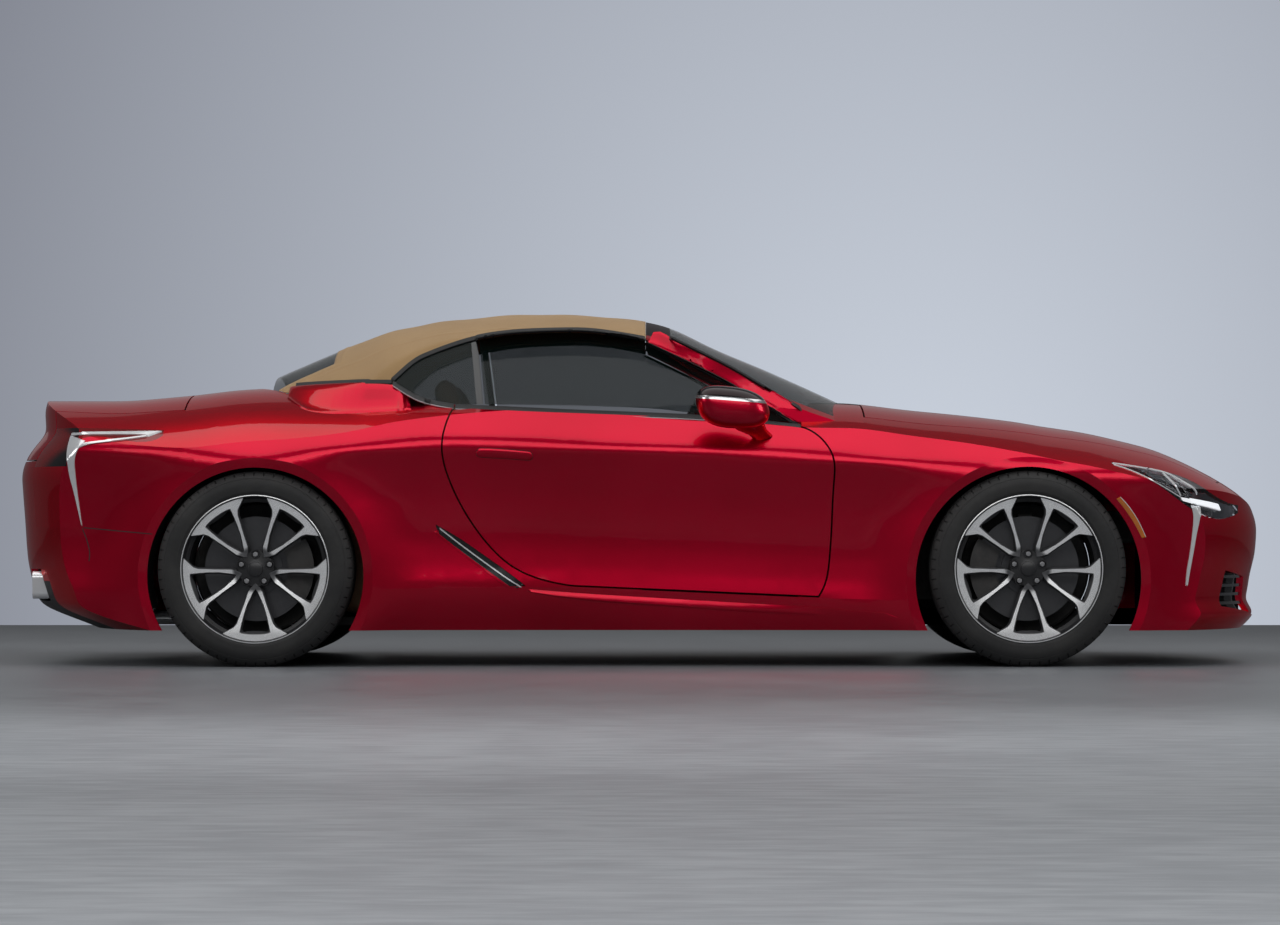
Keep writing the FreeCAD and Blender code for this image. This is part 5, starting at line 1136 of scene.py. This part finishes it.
# %% Turn the wheels
BARREL = ((0.276, 0.004), (0.2752, 0.001), (0.27, 0.0004), (0.2684, 0.003), (0.264, 0.011), (0.261, 0.024),
          (0.258, 0.026), (0.257, 0.033), (0.254, 0.035), (0.253, 0.042), (0.25, 0.044), (0.248, 0.08))
LIP = ((0.2757, 0.0045), (0.2757, -0.0002), (0.2742, -0.001), (0.2722, -0.001), (0.2708, 0.0006),
       (0.2708, 0.0045))
HUB = ((0.0, 0.023), (0.024, 0.0232), (0.027, 0.025), (0.028, 0.032), (0.033, 0.0335), (0.064, 0.0345),
       (0.068, 0.038), (0.07, 0.06), (0.07, 0.09), (0.0, 0.09))
WELL = ((0.0125, 0.0345), (0.014, 0.0315), (0.0165, 0.0315), (0.018, 0.0345), (0.015, 0.04))
BARREL_BACK = ((0.246, 0.02), (0.26, 0.004), (0.275, 0.001), (0.2755, 0.006), (0.265, 0.012),
               (0.26, 0.03))
BARREL_SEAT = ((0.264, 0.02), (0.268, 0.012))
NUT_CIRCLE, NUT_DEPTH, NUT_LENGTH = 0.055, 0.031, 0.014
NUT_RADII = {"radius1": 0.0105, "radius2": 0.0095}
SHIELD = ((0.075, -0.006), (0.234, -0.006), (0.24, 0.002), (0.2412, 0.001), (0.235, -0.0085),
          (0.075, -0.0085))

for end, middle in AXLES.items():
    for label, side in SIDES:
        where = "%s_%s" % (end, label)
        wheel = "wheel_" + where
        carrier = "knuckle_" + label if end == "front" else "body"
        low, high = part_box("tyre_" + where)
        centre = (low + high) / 2
        half, radius = (high.y - low.y) / 2, (high.z - low.z) / 2
        tyre = lathe("tyre_tread_" + where, centre, tyre_profile(centre, half, radius), rubber, wheel,
                     steps=PROFILE_STEPS, closed=True, shape=sipes(centre, half, radius))
        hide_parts("tyre_" + where)
        rim_low, rim_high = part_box("rim_" + where)
        face = max(abs(rim_low.y), abs(rim_high.y))
        deep = abs(rim_high.y - rim_low.y)

        def turned(points):
            return [(r, side * (face - depth)) for r, depth in points]

        back_of_rim = tuple((r, deep - inset) for r, inset in BARREL_BACK)
        lathe("rim_barrel_" + where, centre, turned(BARREL + back_of_rim + BARREL_SEAT), wheel_dark,
              wheel, closed=True)
        v_spokes = spokes("rim_spokes_" + where, centre, face, side, alloy[end], wheel)
        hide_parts("rim_" + where)
        lathe("rim_lip_" + where, centre, turned(LIP), alloy[end], wheel, closed=True)
        lathe("hub_" + where, centre, turned(HUB), wheel_dark, wheel, steps=90)
        nuts = bmesh.new()
        for turn in range(SPOKES):
            angle = math.tau * (1 / 4 + turn / SPOKES)
            place = Vector((centre.x + NUT_CIRCLE * math.cos(angle), side * (face - NUT_DEPTH),
                            centre.z + NUT_CIRCLE * math.sin(angle)))
            upright = Matrix.Translation(place) @ Matrix.Rotation(side * -math.pi / 2, 4, "X")
            bmesh.ops.create_cone(nuts, cap_ends=True, segments=6, depth=NUT_LENGTH, matrix=upright,
                                  **NUT_RADII)
            lathe("nut_well_%s_%d" % (where, turn), place, turned(WELL), wheel_dark, wheel, steps=32,
                  closed=True)
        bmesh.ops.bevel(nuts, geom=nuts.edges[:], offset=0.0012, segments=1, profile=0.5,
                        affect="EDGES", material=-1)
        piece_from(nuts, "wheel_nuts_" + where, steel, wheel, sharp=25)
        disc_low, disc_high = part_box("brake_disc_" + where)
        back = min(abs(disc_low.y), abs(disc_high.y))
        lathe("splash_shield_" + where, centre, [(r, side * (back + out)) for r, out in SHIELD],
              underbody, carrier, steps=96, closed=True)
print("pieces so far", len(MADE))

# %% [markdown]
# ## The soft top
#
# A convertible's roof is one cloth pulled tight over a few cross bars. The frame's solid has its
# outer shape, so the cloth is made by sounding that shape: from outside, rays go in towards a line
# along the cabin, station by station, and each hit becomes a point of one continuous grid. Between
# the bars the cloth sinks a little, and along its seams a double fold stands up.

# %% Sound the roof
CLOTH_NODES = ("soft_top", "rear_window", "glass_bars", "quarter_glasses", "door_glass_left",
               "door_glass_right")
BORDER_NODES = ("boot_lid", "quarter_panel_left", "quarter_panel_right", "windscreen_frame")
CLOTH_STATIONS, CLOTH_COLUMNS = 110, 88
CLOTH_START, CLOTH_INSET = 0.004, 0.006
HEM_OVER_WINDOW, HEM_UNDER_RAIL = 0.004, 0.022
SIDE_SEAM, SEAM_CURVE, SEAM_BEND = 0.545, 0.1, -0.35
WINDOW_SEAM = 0.03
CLOTH_LINE_Z = 0.84
WIDEST_ANGLE, ANGLE_STEP = 84, 0.25
CLOTH_LIFT = 0.0022
BOW_PLACES = (-1.1667, -0.955, -0.77, -0.52, -0.26, 0.0)
BOW_SAG = 0.0035
GASKET = Line((-0.925, 1.06), (-1.05, 1.06), (-1.2, 1.056), (-1.31, 1.0515))
HEM = Line((-0.925, 1.06), (-1.05, 1.06), (-1.2, 1.056), (-1.33, 1.05), (-1.435, 1.043))
WINDOW_LOW, WINDOW_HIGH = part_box("rear_window")


def hem_height(x):
    """Lowest cloth at a station: the top of the side window, or behind it the rail on the body."""
    line = WINDOW_TOP if x > WINDOW_TOP.places[0][0] else HEM
    near = min(line.places, key=lambda place: abs(place[0] - x))
    return near[1] + (HEM_OVER_WINDOW if line is WINDOW_TOP else -HEM_UNDER_RAIL)


def sound_roof():
    """Rows of points over the roof from one hem to the other."""
    corners, faces, owners = soup(CLOTH_NODES + BORDER_NODES)
    tree = BVHTree.FromPolygons(corners, faces)

    def hit(x, angle):
        way = Vector((0, math.sin(angle), math.cos(angle)))
        place, _, face, _ = tree.ray_cast(Vector((x, 0, CLOTH_LINE_Z)) + way * 2, -way)
        return place, place is not None and owners[face] in CLOTH_NODES

    low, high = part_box("soft_top")
    rows, half_columns = [], CLOTH_COLUMNS // 2
    for station in range(CLOTH_STATIONS + 1):
        x = low.x + CLOTH_START + (high.x - low.x - CLOTH_INSET) * station / CLOTH_STATIONS
        hem, widest, angle = hem_height(x), 0.0, 0.0
        while angle < math.radians(WIDEST_ANGLE):
            place, on_cloth = hit(x, angle)
            if not on_cloth or place.z < hem:
                break
            widest = angle
            angle += math.radians(ANGLE_STEP)
        if widest:
            half = [hit(x, widest * column / half_columns)[0] for column in range(half_columns + 1)]
            rows.append([Vector((p.x, -p.y, p.z)) for p in reversed(half[1:])] + half)
    return rows


def bow_sag(x):
    """How far the stretched cloth lies below its cross bars."""
    for start, end in zip(BOW_PLACES, BOW_PLACES[1:]):
        if start < x < end:
            return BOW_SAG * math.sin(math.pi * (x - start) / (end - start)) ** 2
    return 0.0


def welt(distance, height=0.0022, width=0.006):
    return height * math.exp(-(distance / width) ** 2)


def seam_height(place):
    """Folds along the sides of the roof and round the rear window."""
    x, y, z = place
    side_seam = SIDE_SEAM - SEAM_CURVE * max(0.0, (SEAM_BEND - x)) ** 1.5
    rise = welt(abs(y) - side_seam) if x > WINDOW_HIGH.x - 0.02 else 0.0
    reach_x = max(WINDOW_LOW.x - x, x - WINDOW_HIGH.x, 0)
    reach_y = max(abs(y) - WINDOW_HIGH.y, 0)
    return max(rise, welt(math.hypot(reach_x, reach_y) - WINDOW_SEAM))


rows = sound_roof()
print("cloth over", len(rows), "stations")

# %% [markdown]
# The roof's cloth is sewn from panels. The sounded grid is one sheet, so its seams are raised lines,
# and a rectangle is cut out for the rear window. Smoothing it twice takes out the small steps
# between the solids that were sounded.

# %% Shape the cloth
roof = bmesh.new()
bmesh.ops.create_grid(roof, x_segments=len(rows) - 1, y_segments=CLOTH_COLUMNS, size=1)
for vertex in roof.verts:
    row = rows[round((vertex.co.x + 1) / 2 * (len(rows) - 1))]
    vertex.co = row[round((vertex.co.y + 1) / 2 * CLOTH_COLUMNS)]
bmesh.ops.subdivide_edges(roof, edges=roof.edges[:], cuts=1, use_grid_fill=True)
for normal in ((1, 0, 0), (0, 1, 0)):
    for corner in (WINDOW_LOW, WINDOW_HIGH):
        bmesh.ops.bisect_plane(roof, geom=everything(roof), plane_no=normal, plane_co=corner)
pane_faces = [face for face in roof.faces
              if WINDOW_LOW.x < face.calc_center_median().x < WINDOW_HIGH.x
              and WINDOW_LOW.y < face.calc_center_median().y < WINDOW_HIGH.y]
bmesh.ops.delete(roof, geom=pane_faces, context="FACES")
for turn in range(2):
    inner = [vertex for vertex in roof.verts if not vertex.is_boundary]
    bmesh.ops.smooth_vert(roof, verts=inner, factor=0.5, use_axis_x=True, use_axis_y=True, use_axis_z=True)
bmesh.ops.recalc_face_normals(roof, faces=roof.faces[:])
roof.normal_update()
if sum(face.normal.z for face in roof.faces) < 0:
    bmesh.ops.reverse_faces(roof, faces=roof.faces[:])
    roof.normal_update()
lifts = [(vertex, vertex.normal * (CLOTH_LIFT - bow_sag(vertex.co.x) + seam_height(vertex.co)))
         for vertex in roof.verts]
for vertex, lift in lifts:
    vertex.co += lift
cloth_area = sum(face.calc_area() for face in roof.faces)
print("cloth area", round(cloth_area, 3), "m2")

# %% [markdown]
# The cut-out for the rear window is part of the cloth's pattern, so the flat area is less than the
# width times the length. The cloth gets its thickness last.

# %% Soft top cloth
CLOTH_THICKNESS = 0.0026

soft_cloth = piece_from(roof, "soft_top_cloth", canvas, outward=Vector((0, 0, 1)), sharp=60)
thick = soft_cloth.modifiers.new("thickness", "SOLIDIFY")
thick.thickness = CLOTH_THICKNESS
thick.offset = -1.0
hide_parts("soft_top")

# %% [markdown]
# ## The body's shoulder behind the window
#
# Behind each side window the painted body climbs up to the cloth, and a black gasket closes the
# joint. The painted rail is a band that starts on the quarter panel and laps over the cloth's
# lower edge. Its inner points are evened out, because the body has a step under it.

# %% Shoulder and gasket
SHOULDER_LOW = Line((-0.85, 0.956), (-0.93, 0.95), (-1.06, 0.943), (-1.16, 0.94), (-1.24, 0.95),
                    (-1.29, 0.974), (-1.335, 1.005))
SHOULDER_TOP = Line((-0.862, 1.002), (-0.885, 1.024), (-0.92, 1.048), (-0.985, 1.056),
                    (-1.1, 1.056), (-1.24, 1.052), (-1.33, 1.046))

for label, side in SIDES:
    rear_side = Surface("quarter_panel_" + label, "quarter_glasses", "soft_top", "boot_lid", "tonneau_cover")
    band("rear_shoulder_" + label, rear_side, SHOULDER_TOP, SHOULDER_LOW, paint, side,
         proud=0.01, columns=90, soften=12)
    strip("soft_top_gasket_" + label, rear_side, GASKET, 0.015, seal, side, proud=0.011, columns=60)
print("pieces so far", len(MADE))

# %% [markdown]
# ## Seats
#
# A seat's cover is cut a little small and the foam pushes it out, so it bulges between its seams.
# The frame's seat solids are remeshed evenly, then inflated for twenty frames by cloth simulation
# with no gravity. No point may move far, which keeps the seat clear of the cabin. The sewn
# channels come after it, because the remesh would erase them.

# %% Padding
PAD_VOXEL = 0.014
PAD_CAP = 0.01
PAD_START = 0.005
PAD_PRESSURE = 4.0
PAD_FRAMES = 20


def padded_from(name, node, channels, finish):
    """Inflate a copy of a soft solid, press in its seams and let it replace the solid."""
    work = bmesh.new()
    work.from_mesh(NODES[node].data)
    bmesh.ops.remove_doubles(work, verts=work.verts[:], dist=1e-5)
    bmesh.ops.recalc_face_normals(work, faces=work.faces[:])
    pad = piece_from(work, name, finish)
    remesh = pad.modifiers.new("even", "REMESH")
    remesh.mode = "VOXEL"
    remesh.voxel_size = PAD_VOXEL
    smooth = pad.modifiers.new("soften", "SMOOTH")
    smooth.factor, smooth.iterations = 0.5, 4
    settle(pad)
    mesh = pad.data
    start = [vertex.co - vertex.normal * PAD_START for vertex in mesh.vertices]
    for vertex, place in zip(mesh.vertices, start):
        vertex.co = place
    cloth = pad.modifiers.new("foam", "CLOTH")
    cloth.settings.use_pressure = True
    cloth.settings.uniform_pressure_force = PAD_PRESSURE
    cloth.settings.effector_weights.gravity = 0.0
    cloth.point_cache.frame_end = PAD_FRAMES
    for frame_number in range(1, PAD_FRAMES + 1):
        bpy.context.scene.frame_set(frame_number)
    settle(pad)
    bpy.context.scene.frame_set(1)
    mesh = pad.data
    for vertex, place in zip(mesh.vertices, start):
        moved = vertex.co - place
        if moved.length > PAD_CAP:
            vertex.co = place + moved.normalized() * PAD_CAP
    pressed = [vertex.co - vertex.normal * channels(vertex.co, vertex.normal) for vertex in mesh.vertices]
    for vertex, place in zip(mesh.vertices, pressed):
        vertex.co = place
    fine = pad.modifiers.new("fine", "SUBSURF")
    fine.levels = fine.render_levels = 1
    settle(pad)
    mesh = pad.data
    mesh.polygons.foreach_set("use_smooth", [True] * len(mesh.polygons))
    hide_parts(node)
    return pad


def settle(piece):
    """Apply a piece's modifiers to its mesh."""
    graph = bpy.context.evaluated_depsgraph_get()
    graph.update()
    mesh = bpy.data.meshes.new_from_object(piece.evaluated_get(graph))
    piece.modifiers.clear()
    old = piece.data
    piece.data = mesh
    bpy.data.meshes.remove(old)


print("padding moves at most", PAD_CAP, "m")

# %% [markdown]
# Seat covers are sewn into channels, which show as rows of soft valleys. A bump could fake them, but
# valleys this deep change the outline, so the points are pressed in along lines across the seat.

# %% Sewn channels


def groove(distance, depth, width=0.009):
    return depth * math.exp(-(distance / width) ** 2)


SEAT_HALF, BOLSTER = 0.26, 0.145
SEAT_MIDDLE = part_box("front_seats")[1].y - SEAT_HALF
BENCH_MIDDLE, BENCH_END = 0.03, 0.42
CHANNEL_PITCH = 0.085


def cross_channel(place, normal, depth):
    """A row of channels across the seat, up its back and along its cushion."""
    run = place.z if abs(normal.x) > abs(normal.z) else place.x
    return groove(run % CHANNEL_PITCH - CHANNEL_PITCH / 2, depth, 0.007) if abs(normal.y) < 0.7 else 0


def seat_channels(place, normal):
    """Bolster seams, and cross channels between them."""
    across = abs(abs(place.y) - SEAT_MIDDLE)
    deep = groove(across - BOLSTER, 0.008)
    return max(deep, cross_channel(place, normal, 0.005)) if across < BOLSTER else deep


def bench_channels(place, normal):
    """A seam down the middle and at each end, and cross channels between them."""
    across = abs(place.y)
    deep = max(groove(across - BENCH_MIDDLE, 0.006), groove(across - BENCH_END, 0.007))
    inside = BENCH_MIDDLE < across < BENCH_END
    return max(deep, cross_channel(place, normal, 0.004)) if inside else deep


front_pads = padded_from("front_seat_pads", "front_seats", seat_channels, leather)
rear_pads = padded_from("rear_seat_pads", "rear_seat", bench_channels, leather)
print("pads", len(front_pads.data.polygons), len(rear_pads.data.polygons), "faces")

# %% [markdown]
# ## The view transform
#
# Colours are shown with the Standard view transform.

# %% View transform
bpy.context.scene.view_settings.view_transform = "Standard"
